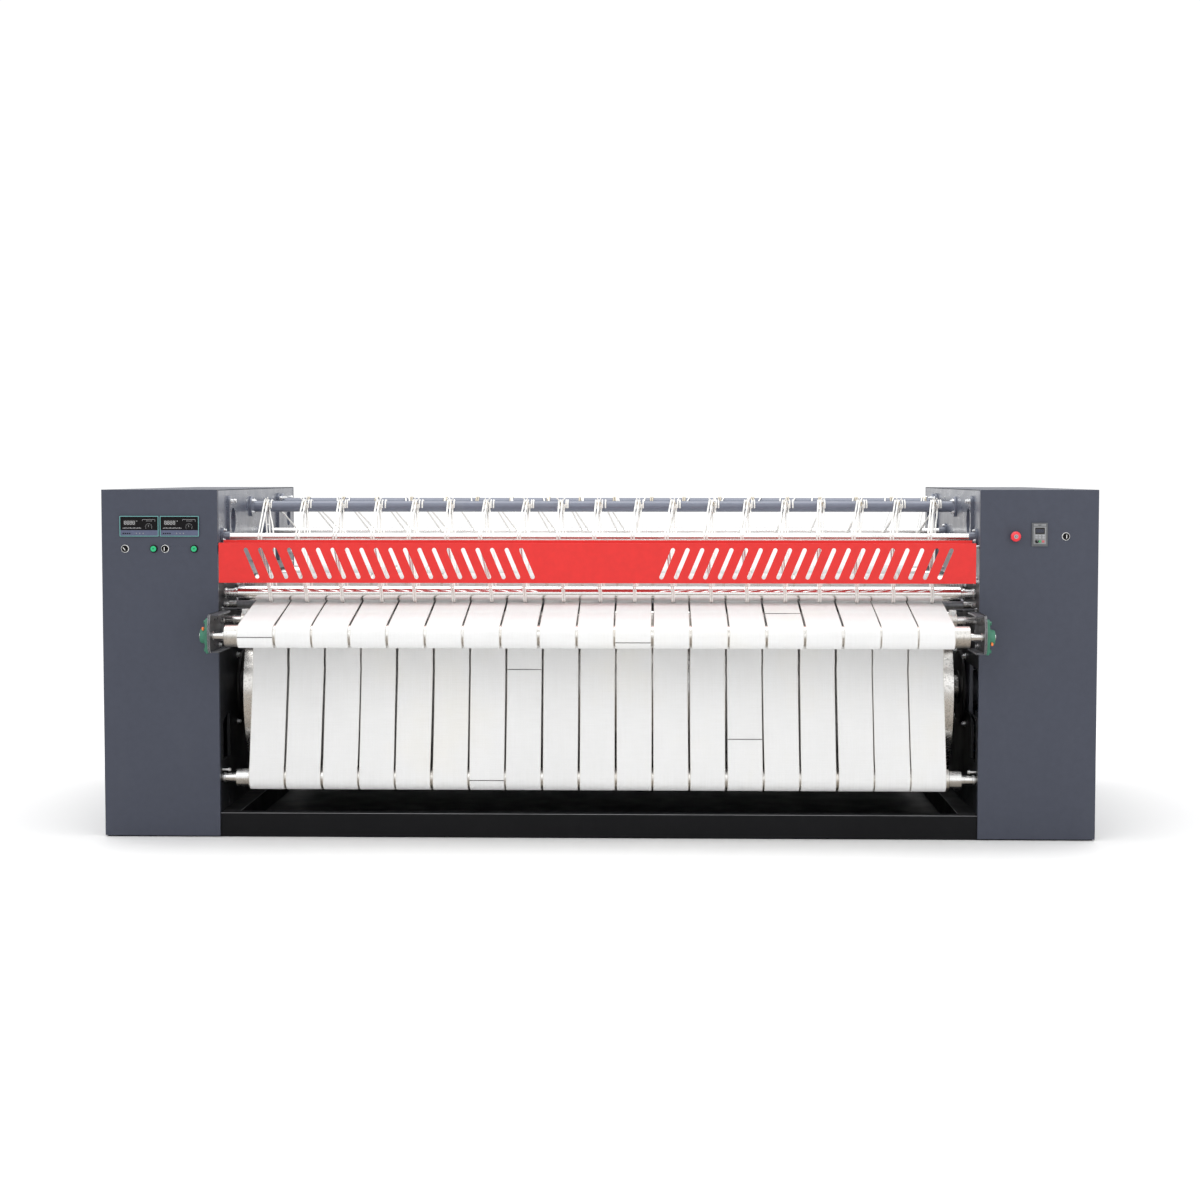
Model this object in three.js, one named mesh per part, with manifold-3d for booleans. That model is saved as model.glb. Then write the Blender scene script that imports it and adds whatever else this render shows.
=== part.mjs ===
// Flatwork ironer: two heated drums, endless canvas ironing belts, a feed apron,
// guide cords and a hinged finger guard between two drive and control cabinets.
// Millimetres. X runs along the drums, Y from the feeding side to the rear, Z up.
// The coordinates below are measured from the cabinets' front plane (Y = 0) and the
// floor (Z = 0). The last group moves them so that the origin is the middle of the base.

import * as THREE from 'three';
import { mergeVertices } from 'three/addons/utils/BufferGeometryUtils.js';
import Module from 'manifold-3d';

const wasm = await Module();
wasm.setup();

// ---------------------------------------------------------------- driving sizes
const HALF_LENGTH = 2057;      // outer face of each cabinet
const INNER = 1574;            // inner wall of each cabinet
const HEIGHT = 1448;           // top of the cabinets
const DEPTH = 1880;            // rear face of the cabinets
const FRONT_REACH = -236;      // front edge of the feed brackets
const CENTRE_Y = (DEPTH + FRONT_REACH) / 2;

const SHEET = 2;               // cover sheet thickness
const PLATE = 12;              // frame plate thickness
const BELT_T = 4;              // belt thickness
const BELT_GAP = 1.3;          // belt to roller clearance, chords included
const BELT_HALF = 1456;        // outer edge of the belt set

const DRUM_R = 400;
const DRUM_ENDS = [-1504, 1495];
const JOURNAL_R = 52;
const ROLLER_R = 44.5;         // tube of the large rollers
const TURN_R = 30;             // tube of the small rollers

const AXES = {                 // [Y, Z] of every shaft
  feed: [-185, 855],
  press: [125, 1013],
  turn1: [225, 962],
  drum1: [540, 585],
  exit1: [460, 1034],
  turn2: [1095, 962],
  drum2: [1410, 585],
  exit2: [1330, 1034],
  rearTop: [1770, 900],
  rearLow: [1770, 160],
  idler: [970, 160],
  frontLow: [58, 242],
  snub: [75, 905],
  bar1: [681, 1369],
  bar2: [1476, 1374],
  tube1: [100, 1251],
  tube2: [1080, 1250],
  motor: [975, 330],
  guard: [38, 1213],
};

const PRESS_R = 31;
const BAR_R = 24;
const TUBE_R = 15;
const CORDS = 19;
const PITCH = 153.4;           // belt and cord pitch

// ---------------------------------------------------------------- solids helpers
function clean(geometry) {
  const g = geometry.index ? geometry.toNonIndexed() : geometry.clone();
  for (const name of Object.keys(g.attributes)) if (name !== 'position') g.deleteAttribute(name);
  const m = mergeVertices(g, 1e-4);
  const idx = m.index.array;
  const keep = [];
  for (let i = 0; i < idx.length; i += 3) {
    const [a, b, c] = [idx[i], idx[i + 1], idx[i + 2]];
    if (a !== b && b !== c && c !== a) keep.push(a, b, c);
  }
  const p = m.attributes.position;
  let volume = 0;
  const va = new THREE.Vector3(), vb = new THREE.Vector3(), vc = new THREE.Vector3();
  for (let i = 0; i < keep.length; i += 3) {
    va.fromBufferAttribute(p, keep[i]);
    vb.fromBufferAttribute(p, keep[i + 1]);
    vc.fromBufferAttribute(p, keep[i + 2]);
    volume += va.dot(vb.clone().cross(vc));
  }
  if (volume < 0) {
    for (let i = 0; i < keep.length; i += 3) [keep[i], keep[i + 1]] = [keep[i + 1], keep[i]];
  }
  m.setIndex(keep);
  return m;
}

function solid(geometry) {
  const m = clean(geometry);
  return new wasm.Manifold(new wasm.Mesh({
    numProp: 3,
    vertProperties: new Float32Array(m.attributes.position.array),
    triVerts: new Uint32Array(m.index.array),
  }));
}

function geometryOf(manifold) {
  const mesh = manifold.getMesh();
  const n = mesh.numProp;
  const count = mesh.vertProperties.length / n;
  const pos = new Float32Array(count * 3);
  for (let i = 0; i < count; i++) {
    pos[3 * i] = mesh.vertProperties[i * n];
    pos[3 * i + 1] = mesh.vertProperties[i * n + 1];
    pos[3 * i + 2] = mesh.vertProperties[i * n + 2];
  }
  const g = new THREE.BufferGeometry();
  g.setAttribute('position', new THREE.BufferAttribute(pos, 3));
  g.setIndex(Array.from(mesh.triVerts));
  return g;
}

function boxGeo(x0, x1, y0, y1, z0, z1) {
  const g = new THREE.BoxGeometry(Math.abs(x1 - x0), Math.abs(y1 - y0), Math.abs(z1 - z0));
  g.translate((x0 + x1) / 2, (y0 + y1) / 2, (z0 + z1) / 2);
  return g;
}
const box = (...a) => solid(boxGeo(...a));
const union = (list) => list.reduce((a, b) => a.add(b));

// profile: [x, r] pairs turned about an axis along X through (y, z)
function turned(profile, y, z, segments = 20, closed = false) {
  const pts = profile.map(([x, r]) => new THREE.Vector2(r, x));
  if (closed) pts.push(pts[0].clone());
  const g = new THREE.LatheGeometry(pts, segments);
  g.rotateZ(-Math.PI / 2);
  g.translate(0, y, z);
  return g;
}

// a straight round bar along X, Y or Z
function rod(axis, r, from, to, u, v, segments = 16) {
  const g = new THREE.CylinderGeometry(r, r, Math.abs(to - from), segments);
  const mid = (from + to) / 2;
  if (axis === 'x') { g.rotateZ(Math.PI / 2); g.translate(mid, u, v); }
  if (axis === 'y') { g.translate(u, mid, v); }
  if (axis === 'z') { g.rotateX(Math.PI / 2); g.translate(u, v, mid); }
  return g;
}

// every outline is turned anticlockwise before it is pushed
function anticlockwise(points) {
  const v = points.map(([a, b]) => new THREE.Vector2(a, b));
  return THREE.ShapeUtils.isClockWise(v) ? v.reverse() : v;
}

// outline [[y, z], ...] pushed along X
function prismX(points, x0, x1, holes = []) {
  const shape = new THREE.Shape(anticlockwise(points));
  for (const h of holes) shape.holes.push(new THREE.Path(h.map(([y, z]) => new THREE.Vector2(y, z))));
  const g = new THREE.ExtrudeGeometry(shape, { depth: x1 - x0, bevelEnabled: false, steps: 1, curveSegments: 1 });
  const m = new THREE.Matrix4().makeBasis(new THREE.Vector3(0, 1, 0), new THREE.Vector3(0, 0, 1), new THREE.Vector3(1, 0, 0));
  g.applyMatrix4(m);
  g.translate(x0, 0, 0);
  return g;
}

// outline [[x, z], ...] pushed along Y
function prismY(points, y0, y1, holes = []) {
  const shape = new THREE.Shape(anticlockwise(points));
  for (const h of holes) shape.holes.push(new THREE.Path(h.map(([x, z]) => new THREE.Vector2(x, z))));
  const g = new THREE.ExtrudeGeometry(shape, { depth: y1 - y0, bevelEnabled: false, steps: 1, curveSegments: 1 });
  const m = new THREE.Matrix4().makeBasis(new THREE.Vector3(1, 0, 0), new THREE.Vector3(0, 0, 1), new THREE.Vector3(0, -1, 0));
  g.applyMatrix4(m);
  g.translate(0, y1, 0);
  return g;
}

const circle = (u, v, r, n = 16, a0 = 0) => Array.from({ length: n }, (_, i) => [
  u + r * Math.cos(a0 + (2 * Math.PI * i) / n), v + r * Math.sin(a0 + (2 * Math.PI * i) / n)]);
const rect = (u0, u1, v0, v1) => [[u0, v0], [u1, v0], [u1, v1], [u0, v1]];

// ------------------------------------------------- taut loop around a row of circles
// circles: {y, z, r, s}; s is +1 where the loop turns left round it and -1 where it turns right
function tautPath(circles, closed, stepDeg) {
  const n = circles.length;
  const tangent = (a, b) => {
    const dy = b.y - a.y, dz = b.z - a.z, d = Math.hypot(dy, dz);
    const k = b.s * b.r - a.s * a.r;
    const th = Math.atan2(dz, dy) - Math.asin(k / d);
    return { th, n: [-Math.sin(th), Math.cos(th)] };
  };
  const lines = [];
  for (let i = 0; i < (closed ? n : n - 1); i++) lines.push(tangent(circles[i], circles[(i + 1) % n]));
  const out = [];
  for (let i = 0; i < n; i++) {
    const c = circles[i];
    let inc = closed || i > 0 ? lines[(i - 1 + n) % n] : null;
    let exi = closed || i < n - 1 ? lines[i] : null;
    let a0, a1;
    const ang = (l) => Math.atan2(-c.s * l.n[1], -c.s * l.n[0]);
    if (inc && exi) { a0 = ang(inc); a1 = ang(exi); }
    else if (exi) { a1 = ang(exi); a0 = a1 - c.s * c.wrap; }
    else { a0 = ang(inc); a1 = a0 + c.s * c.wrap; }
    let sweep = a1 - a0;
    while (c.s > 0 && sweep < 0) sweep += 2 * Math.PI;
    while (c.s > 0 && sweep >= 2 * Math.PI) sweep -= 2 * Math.PI;
    while (c.s < 0 && sweep > 0) sweep -= 2 * Math.PI;
    while (c.s < 0 && sweep <= -2 * Math.PI) sweep += 2 * Math.PI;
    const step = (c.step || stepDeg) * Math.PI / 180;
    const k = Math.max(1, Math.ceil(Math.abs(sweep) / step));
    for (let j = 0; j <= k; j++) {
      const a = a0 + (sweep * j) / k;
      // left normal of the direction of travel
      out.push({ p: [c.y + c.r * Math.cos(a), c.z + c.r * Math.sin(a)], n: [-c.s * Math.cos(a), -c.s * Math.sin(a)] });
    }
  }
  return out;
}

function bandOutline(path, t, closed) {
  const left = path.map(({ p, n }) => [p[0] + n[0] * t / 2, p[1] + n[1] * t / 2]);
  const right = path.map(({ p, n }) => [p[0] - n[0] * t / 2, p[1] - n[1] * t / 2]);
  if (closed) return { outer: left, inner: right };
  return { outer: left.concat(right.reverse()), inner: null };
}

// ---------------------------------------------------------------- scene graph
const machine = new THREE.Group();
machine.position.set(0, -CENTRE_Y, 0);

const LOOK = {
  cabinet: [0x565c68, 0.42, 0.3],
  frame: [0x15161a, 0.5, 0.4],
  steel: [0xc9c8c4, 0.2, 0.95],
  belt: [0xe9e8e4, 0.9, 0.0],
  cord: [0xf2efe6, 0.9, 0.0],
  guard: [0xe8382f, 0.35, 0.1],
  bracket: [0x3a3d44, 0.5, 0.3],
  bearing: [0x1f6b57, 0.45, 0.2],
  iron: [0x5d6068, 0.6, 0.5],
  black: [0x1b1c1e, 0.5, 0.0],
  red: [0xd8202a, 0.3, 0.0],
  green: [0x1f9a5b, 0.3, 0.0],
  teal: [0x2c7d72, 0.5, 0.0],
  motor: [0x2f4a63, 0.5, 0.2],
};
const materials = {};
for (const [k, [color, roughness, metalness]] of Object.entries(LOOK)) {
  materials[k] = new THREE.MeshStandardMaterial({ color, roughness, metalness });
}

function put(name, look, geometry) {
  const g = clean(geometry);
  g.computeVertexNormals();
  const mesh = new THREE.Mesh(g, materials[look]);
  mesh.name = name;
  machine.add(mesh);
}
const putSolid = (name, look, m) => put(name, look, geometryOf(m));

const SIDES = [['left', -1], ['right', 1]];
const span = (s, a, b) => (s < 0 ? [-b, -a] : [a, b]);

// ---------------------------------------------------------------- base: beams, side members, dust tray
{
  const h = 100, w = 60, t = 6;
  const xo = HALF_LENGTH - 9, y0 = 8, y1 = DEPTH - 8;
  // the front and rear beams are channels, open towards the middle of the machine
  putSolid('base_front_beam', 'frame', box(-xo, xo, y0, y0 + w, 0, h)
    .subtract(box(-INNER + 80, INNER - 80, y0 + t, y0 + w + 1, t, h - t)));
  putSolid('base_rear_beam', 'frame', box(-xo, xo, y1 - w, y1, 0, h)
    .subtract(box(-INNER + 80, INNER - 80, y1 - w - 1, y1 - t, t, h - t)));
  // the side members are channels, open to the outside
  for (const [side, s] of SIDES) {
    const [a, b] = span(s, INNER - 74, INNER + 16);
    const [c, d] = span(s, INNER - 74 + t, INNER + 20);
    putSolid(`base_side_${side}`, 'frame', box(a, b, y0 + w + 0.3, y1 - w - 0.3, 0, h)
      .subtract(box(c, d, y0 + w + 12, y1 - w - 12, t, h - t)));
  }
  // dust tray under the drums, with a flat rib below it
  const tx = INNER - 74.4;
  putSolid('dust_tray', 'frame', box(-tx, tx, y0 + w + 0.4, y1 - w - 0.4, 10, 13).add(box(-tx, tx, 945, 1005, 0, 11)));
}

// ---------------------------------------------------------------- frame plates
const SHAFT_HOLES = [
  ['press', 16.6], ['turn1', 16.6], ['turn2', 16.6], ['exit1', 21.6], ['exit2', 21.6],
  ['rearTop', 21.6], ['rearLow', 21.6], ['idler', 16.6], ['frontLow', 21.6], ['snub', 16.6],
];
for (const [side, s] of SIDES) {
  const [a, b] = span(s, INNER, INNER + PLATE);
  const holes = [
    circle(...AXES.drum1, 79, 20), circle(...AXES.drum2, 79, 20),
    [[80, 312], [222, 312], [222, 500], [150, 500], [80, 470]],
    [[1660, 312], [1800, 312], [1800, 470], [1730, 500], [1660, 500]],
    rect(820, 1130, 420, 760),
  ];
  for (const [k, r] of SHAFT_HOLES) holes.push(circle(...AXES[k], r + 0.4, 12));
  const plate = solid(prismX([[26, 102], [1854, 102], [1854, 1060], [26, 1060]], a, b));
  // on the drive side the front drum goes in through a slot that is open to the front
  if (s > 0) holes.push([[18, 501], [466, 501], [466, 669], [18, 669]]);
  const cutters = holes.map((h) => solid(prismX(h, a - 3, b + 3)));
  putSolid(`frame_plate_${side}`, 'frame', plate.subtract(union(cutters)));
}

// ---------------------------------------------------------------- upper inner panels with lug plates
for (const [side, s] of SIDES) {
  const [a, b] = span(s, INNER, INNER + 3);
  const holes = [circle(...AXES.guard, 7, 10)];
  const panel = solid(prismX([[26, 1061], [1854, 1061], [1854, 1444], [26, 1444]], a, b, holes));
  const [c, d] = span(s, INNER - PLATE, INNER + 0.5);
  const lug = (y0, y1, hy) => solid(prismX(
    [[y0, 1100], [y1, 1100], [y1, 1402], [y1 - 18, 1421], [y0 + 18, 1421], [y0, 1402]], c, d, [circle(hy, 1315, 53, 16)]));
  putSolid(`inner_panel_${side}`, 'cabinet', union([panel, lug(202, 760, 278), lug(1400, 1760, 1660)]));
}

// ---------------------------------------------------------------- cabinet covers
const CONTROLLERS = [[-1980.5, -1818], [-1812.5, -1650]];
const CTRL_Z = [1254, 1339];
const SELECT_L = [-1959.7, -1792.3], GREEN_L = [-1839.8, -1670.8], ROW_L = 1203;
const ESTOP = [1715.5, 1257], KEYPAD = [1783, 1848, 1216, 1313], SELECT_R = [1923, 1257];

for (const [side, s] of SIDES) {
  const rtn = 24;
  const [x0, x1] = span(s, INNER, HALF_LENGTH);
  const pan = (yFace, dir, cuts) => {
    const [o0, o1] = dir > 0 ? [yFace, yFace + rtn] : [yFace - rtn, yFace];
    const [i0, i1] = dir > 0 ? [yFace + SHEET, yFace + rtn + 9] : [yFace - rtn - 9, yFace - SHEET];
    const tray = box(x0, x1, o0, o1, 4, HEIGHT).subtract(box(x0 + SHEET, x1 - SHEET, i0, i1, -5, HEIGHT - SHEET));
    return cuts.length ? tray.subtract(union(cuts)) : tray;
  };
  const cuts = [];
  if (s < 0) {
    CONTROLLERS.forEach(([a, b], i) => cuts.push(box(a + 4, b - 4, -5, 10, CTRL_Z[0] + 3.5 - 0.5 * i, CTRL_Z[1] - 3.5 + 0.5 * i)));
    [...SELECT_L, ...GREEN_L].forEach((x, i) => cuts.push(solid(prismY(circle(x, ROW_L, 11.4, 12, 0.11 + 0.09 * i), -5, 10))));
  } else {
    cuts.push(box(KEYPAD[0] + 3, KEYPAD[1] - 3, -5, 10, KEYPAD[2] + 3, KEYPAD[3] - 3));
    cuts.push(solid(prismY(circle(...ESTOP, 11.4, 12, 0.1), -5, 10)));
    cuts.push(solid(prismY(circle(...SELECT_R, 11.4, 12, 0.21), -5, 10)));
  }
  // below the frame plate the inner return stops, where the base beam passes
  const [b0, b1] = span(s, INNER - 5, INNER + 30);
  cuts.push(box(b0, b1, 3, 40, 0, 101));
  putSolid(`${side}_front_cover`, 'cabinet', pan(0, 1, cuts));
  putSolid(`${side}_rear_cover`, 'cabinet', pan(DEPTH, -1, [box(b0, b1, DEPTH - 40, DEPTH - 3, 0, 101)]));

  // end cover: shallow tray with two pressed-in grips
  const [t0, t1] = span(s, HALF_LENGTH - 22, HALF_LENGTH);
  const [i0, i1] = span(s, HALF_LENGTH - 30, HALF_LENGTH - SHEET);
  let end = box(t0, t1, 26, 1854, 4, 1444)
    .subtract(union([box(i0, i1, 28, 1852, -5, 1442), box(i0, i1, 20, 1860, -6, 104)]));
  // ventilation louvres as plain slots
  const [g0, g1] = span(s, HALF_LENGTH - 6, HALF_LENGTH + 4);
  end = end.subtract(union([0, 1, 2, 3, 4, 5].map((i) => box(g0, g1, 700, 1180, 1180 + 26 * i, 1190 + 26 * i))));
  putSolid(`${side}_end_cover`, 'cabinet', end);

  // top cover
  const [q0, q1] = span(s, INNER + 4, INNER + 6);
  const [p0, p1] = span(s, HALF_LENGTH - 26, HALF_LENGTH - 24);
  putSolid(`${side}_top_cover`, 'cabinet', union([
    box(x0, x1, 26, 1854, HEIGHT - SHEET, HEIGHT),
    box(q0, q1, 26, 1854, HEIGHT - 22, HEIGHT - 1),
    box(p0, p1, 26, 1854, HEIGHT - 22, HEIGHT - 1),
  ]));
}

// ---------------------------------------------------------------- drums and their bearings
for (const i of [1, 2]) {
  const [y, z] = AXES[`drum${i}`];
  const right = 1700, left = -1660, [d0, d1] = DRUM_ENDS;
  const shell = [
    [left, 30], [left, JOURNAL_R], [d0, JOURNAL_R], [d0, DRUM_R],
    [d1, DRUM_R], [d1, JOURNAL_R], [right, JOURNAL_R], [right, 30],
    [d1 - 20, 30], [d1 - 21, DRUM_R - 14], [d0 + 21, DRUM_R - 14], [d0 + 20, 30],
  ];
  // the chain wheel is keyed to the right-hand journal and turns as one with the drum
  const wheel = turned([[1666, JOURNAL_R - 8], [1666, 78], [1676, 78], [1676, 172], [1686, 172], [1686, JOURNAL_R - 8]], y, z, 24, true);
  putSolid(`drum_${i}`, 'steel', solid(turned(shell, y, z, 40, true)).add(solid(wheel)));
  for (const [side, s] of SIDES) {
    const [f0, f1] = span(s, INNER + PLATE + 0.4, INNER + PLATE + 16);
    const [h0, h1] = span(s, INNER + 3, INNER + 72);
    const hub = solid(rod('x', 77, h0, h1, y, z, 20));
    const flange = solid(prismX([[y - 145, z - 140], [y - 100, z - 182], [y + 100, z - 182], [y + 145, z - 140],
      [y + 145, z + 140], [y + 100, z + 182], [y - 100, z + 182], [y - 145, z + 140]], f0, f1));
    const bore = solid(rod('x', JOURNAL_R + 0.8, h0 - 5, h1 + 5, y, z, 24));
    putSolid(`drum_${i}_bearing_${side}`, 'iron', flange.add(hub).subtract(bore));
  }
}

// ---------------------------------------------------------------- rollers
const roller = (name, axis, r, half, journal, neck = 0, segs = 16) => {
  const [y, z] = AXES[axis];
  const end = INNER + PLATE + 8;
  const step = neck ? [[half + neck, journal + 5], [half + neck, journal]] : [];
  const right = [[half, r], [half, journal + (neck ? 5 : 0)], ...step, [end, journal], [end, 0]];
  const left = right.map(([x, q]) => [-x, q]).reverse();
  put(name, 'steel', turned([...left, ...right], y, z, segs));
};
roller('press_roller', 'press', PRESS_R, 1512, 16, 24);
roller('turning_roller_1', 'turn1', TURN_R, 1500, 16);
roller('turning_roller_2', 'turn2', TURN_R, 1500, 16);
roller('exit_roller_1', 'exit1', ROLLER_R, 1500, 21);
roller('exit_roller_2', 'exit2', ROLLER_R, 1500, 21);
roller('rear_top_roller', 'rearTop', ROLLER_R, 1500, 21);
roller('rear_lower_roller', 'rearLow', ROLLER_R, 1500, 21);
roller('return_idler', 'idler', TURN_R, 1500, 16);
roller('front_lower_roller', 'frontLow', ROLLER_R, 1516, 21, 16);
roller('snub_roller', 'snub', TURN_R, 1500, 16, 24);

// feed roller runs in the two outboard flange bearings
{
  const [y, z] = AXES.feed;
  const e = 1604;
  put('feed_roller', 'steel', turned([[-e, 0], [-e, 14], [-1556, 14], [-1556, 18], [-1516, 18], [-1516, ROLLER_R],
    [1516, ROLLER_R], [1516, 18], [1556, 18], [1556, 14], [e, 14], [e, 0]], y, z, 16));
}
for (const [side, s] of SIDES) {
  const [y, z] = AXES.feed;
  // channel bracket, flanges turned inwards
  const [w0, w1] = span(s, INNER - 10, INNER - 2);
  const [g0, g1] = span(s, INNER - 42, INNER - 2);
  const web = solid(prismX([[FRONT_REACH, 800], [-205, 786], [52, 786], [52, 944], [-205, 944], [FRONT_REACH, 930]], w0, w1,
    [circle(y, z, 18, 16)]));
  const lower = box(g0, g1, -205, 52, 786, 794);
  const upper = box(g0, g1, -205, -70, 936, 944);
  putSolid(`feed_bracket_${side}`, 'bracket', union([web, lower, upper]));
  // flange bearing outside the bracket
  const [f0, f1] = span(s, INNER - 1.6, INNER + 12);
  const [h0, h1] = span(s, INNER - 1.6, INNER + 34);
  const flange = solid(prismX([[y - 20, z - 72], [y + 20, z - 72], [y + 40, z - 34], [y + 40, z + 34], [y + 20, z + 72],
    [y - 20, z + 72], [y - 40, z + 34], [y - 40, z - 34]], f0, f1));
  const hub = solid(rod('x', 31, h0, h1, y, z, 16));
  const bore = solid(rod('x', 14.8, h0 - 5, h1 + 5, y, z, 16));
  putSolid(`feed_bearing_${side}`, 'bearing', flange.add(hub).subtract(bore));
}

// ---------------------------------------------------------------- ironing belts (one closed run for the set)
{
  const o = BELT_GAP + BELT_T / 2;
  const c = (k, r, s, step) => ({ y: AXES[k][0], z: AXES[k][1], r: r + o, s, step });
  const loop = [
    c('feed', ROLLER_R, -1), c('turn1', TURN_R, -1), c('drum1', DRUM_R, 1, 7.5), c('exit1', ROLLER_R, -1),
    c('turn2', TURN_R, -1), c('drum2', DRUM_R, 1, 7.5), c('exit2', ROLLER_R, -1), c('rearTop', ROLLER_R, -1),
    c('rearLow', ROLLER_R, -1), c('idler', TURN_R, -1), c('frontLow', ROLLER_R, -1), c('snub', TURN_R, 1),
  ];
  const { outer, inner } = bandOutline(tautPath(loop, true, 20), BELT_T, true);
  put('ironing_belts', 'belt', prismX(outer, -BELT_HALF, BELT_HALF, [inner]));
}

// ---------------------------------------------------------------- cord bars and guide tubes
const bar = (name, axis, r, look, reach, socket) => {
  const [y, z] = AXES[axis];
  const parts = [solid(rod('x', r, -reach, reach, y, z, 16))];
  for (const [, s] of SIDES) {
    const [a, b] = span(s, reach - 9, reach);
    parts.push(solid(rod('x', socket, a, b, y, z, 16)));
  }
  putSolid(name, look, union(parts));
};
bar('cord_bar_front', 'bar1', BAR_R, 'cabinet', INNER - PLATE - 0.4, 45);
bar('cord_bar_rear', 'bar2', BAR_R, 'cabinet', INNER - PLATE - 0.4, 45);
bar('guide_tube_front', 'tube1', TUBE_R, 'steel', INNER - 0.4, 36);
bar('guide_tube_middle', 'tube2', TUBE_R - 1, 'steel', INNER - 0.4, 36);

// ---------------------------------------------------------------- guide cords, one tie per belt
{
  const lanes = Array.from({ length: CORDS }, (_, i) => (i - (CORDS - 1) / 2) * PITCH);
  const c = (k, r, gap, s, step, wrap) => ({ y: AXES[k][0], z: AXES[k][1], r: r + gap, s, step, wrap });
  const front = bandOutline(tautPath([c('bar1', BAR_R, 5.2, 1, 62), c('tube1', TUBE_R, 4, 1, 40), c('press', PRESS_R, 2.2, 1, 28)], true, 62), 2, true);
  const ring = Math.abs(THREE.ShapeUtils.area(anticlockwise(front.outer))) > Math.abs(THREE.ShapeUtils.area(anticlockwise(front.inner)))
    ? [front.outer, front.inner] : [front.inner, front.outer];
  const list = lanes.map((x) => solid(prismX(ring[0], x - 6, x + 6, [ring[1]])));
  // lacing cord that ties the loops together along the bar
  list.push(box(-1480, 1480, AXES.bar1[0] - 3, AXES.bar1[0] + 3, AXES.bar1[1] + 25.2, AXES.bar1[1] + 36));
  const rear = bandOutline(tautPath([c('bar1', BAR_R, 11.2, -1, 62, 1.6), c('tube2', TUBE_R, 6.2, 1, 62), c('bar2', BAR_R, 6.2, -1, 62, 3.2)], false, 62), 4, false);
  lanes.forEach((x) => list.push(solid(prismX(rear.outer, x + 12, x + 20))));
  list.push(box(-1400, 1440, AXES.bar2[0] + 26, AXES.bar2[0] + 31, AXES.bar2[1] - 3, AXES.bar2[1] + 3));
  putSolid('guide_cords', 'cord', union(list));
}

// ---------------------------------------------------------------- hinged finger guard
{
  const z0 = 1062, z1 = 1228, ends = [-1571, 1559];
  const [gy, gz] = AXES.guard;
  const slots = [];
  for (const s of [-1, 1]) {
    for (let k = 0; k < 20; k++) {
      const top = [s * (313 + 60.2 * k), 1199], low = [s * (266 + 60.2 * k), 1087];
      const dx = low[0] - top[0], dz = low[1] - top[1], len = Math.hypot(dx, dz);
      const u = [dx / len, dz / len], v = [-u[1], u[0]], r = 8.7, e = 8.4;
      const at = (p, a, b) => [p[0] + u[0] * a + v[0] * b, p[1] + u[1] * a + v[1] * b];
      slots.push([at(top, 0, r), at(low, 0, r), at(low, e, 0), at(low, 0, -r), at(top, 0, -r), at(top, -e, 0)]);
    }
  }
  const face = solid(prismY(rect(...ends, z0, z1), 0, SHEET))
    .subtract(union(slots.map((p) => solid(prismY(p, -3, SHEET + 3)))));
  const parts = [face, box(...ends, 0.5, 36, z1 - SHEET, z1), box(...ends, 0.5, 12, z0, z0 + SHEET)];
  for (const [, s] of SIDES) {
    const half = s < 0 ? -ends[0] : ends[1];
    const [a, b] = span(s, half - 5, half);
    parts.push(solid(prismX([[0.5, z1 - 1], [0.5, 1180], [20, 1180], [50, 1203], [50, 1222], [44, z1 - 1]], a, b)));
    const [c, d] = span(s, half - 1, INNER + 5);
    parts.push(solid(rod('x', 6.4, c, d, gy, gz, 12)));
  }
  putSolid('finger_guard', 'guard', union(parts));
}

// ---------------------------------------------------------------- controls
CONTROLLERS.forEach(([a, b], i) => {
  const bezel = box(a, b, -7, -0.4, CTRL_Z[0], CTRL_Z[1]);
  const body = box(a + 5, b - 5, -1, 78, CTRL_Z[0] + 4.5, CTRL_Z[1] - 4.5);
  putSolid(`temperature_controller_${i + 1}`, 'teal', bezel.add(body));
});
// switch bodies: front ring, neck through the cover, contact block behind
const switchBody = (x, z, bore) => {
  const ring = turned([[-6, bore], [-6, 14.5], [-0.4, 14.5], [-0.4, 10.8], [4, 10.8], [4, 14], [34, 14], [34, bore]], 0, 0, 12, true);
  ring.rotateZ(Math.PI / 2);
  ring.translate(x, 0, z);
  return solid(ring).add(box(x - 15, x + 15, 34 - 0.5, 60, z - 18, z + 18));
};
const knob = (name, look, x, z) => {
  const base = turned([[-13, 0], [-13, 9.2], [-6.6, 9.2], [-6.6, 7.4], [30, 7.4], [30, 0]], 0, 0, 12);
  base.rotateZ(Math.PI / 2);
  base.translate(x, 0, z);
  putSolid(name, look, solid(base).add(box(x - 3, x + 3, -19, -12, z - 9, z + 9)));
};
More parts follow.
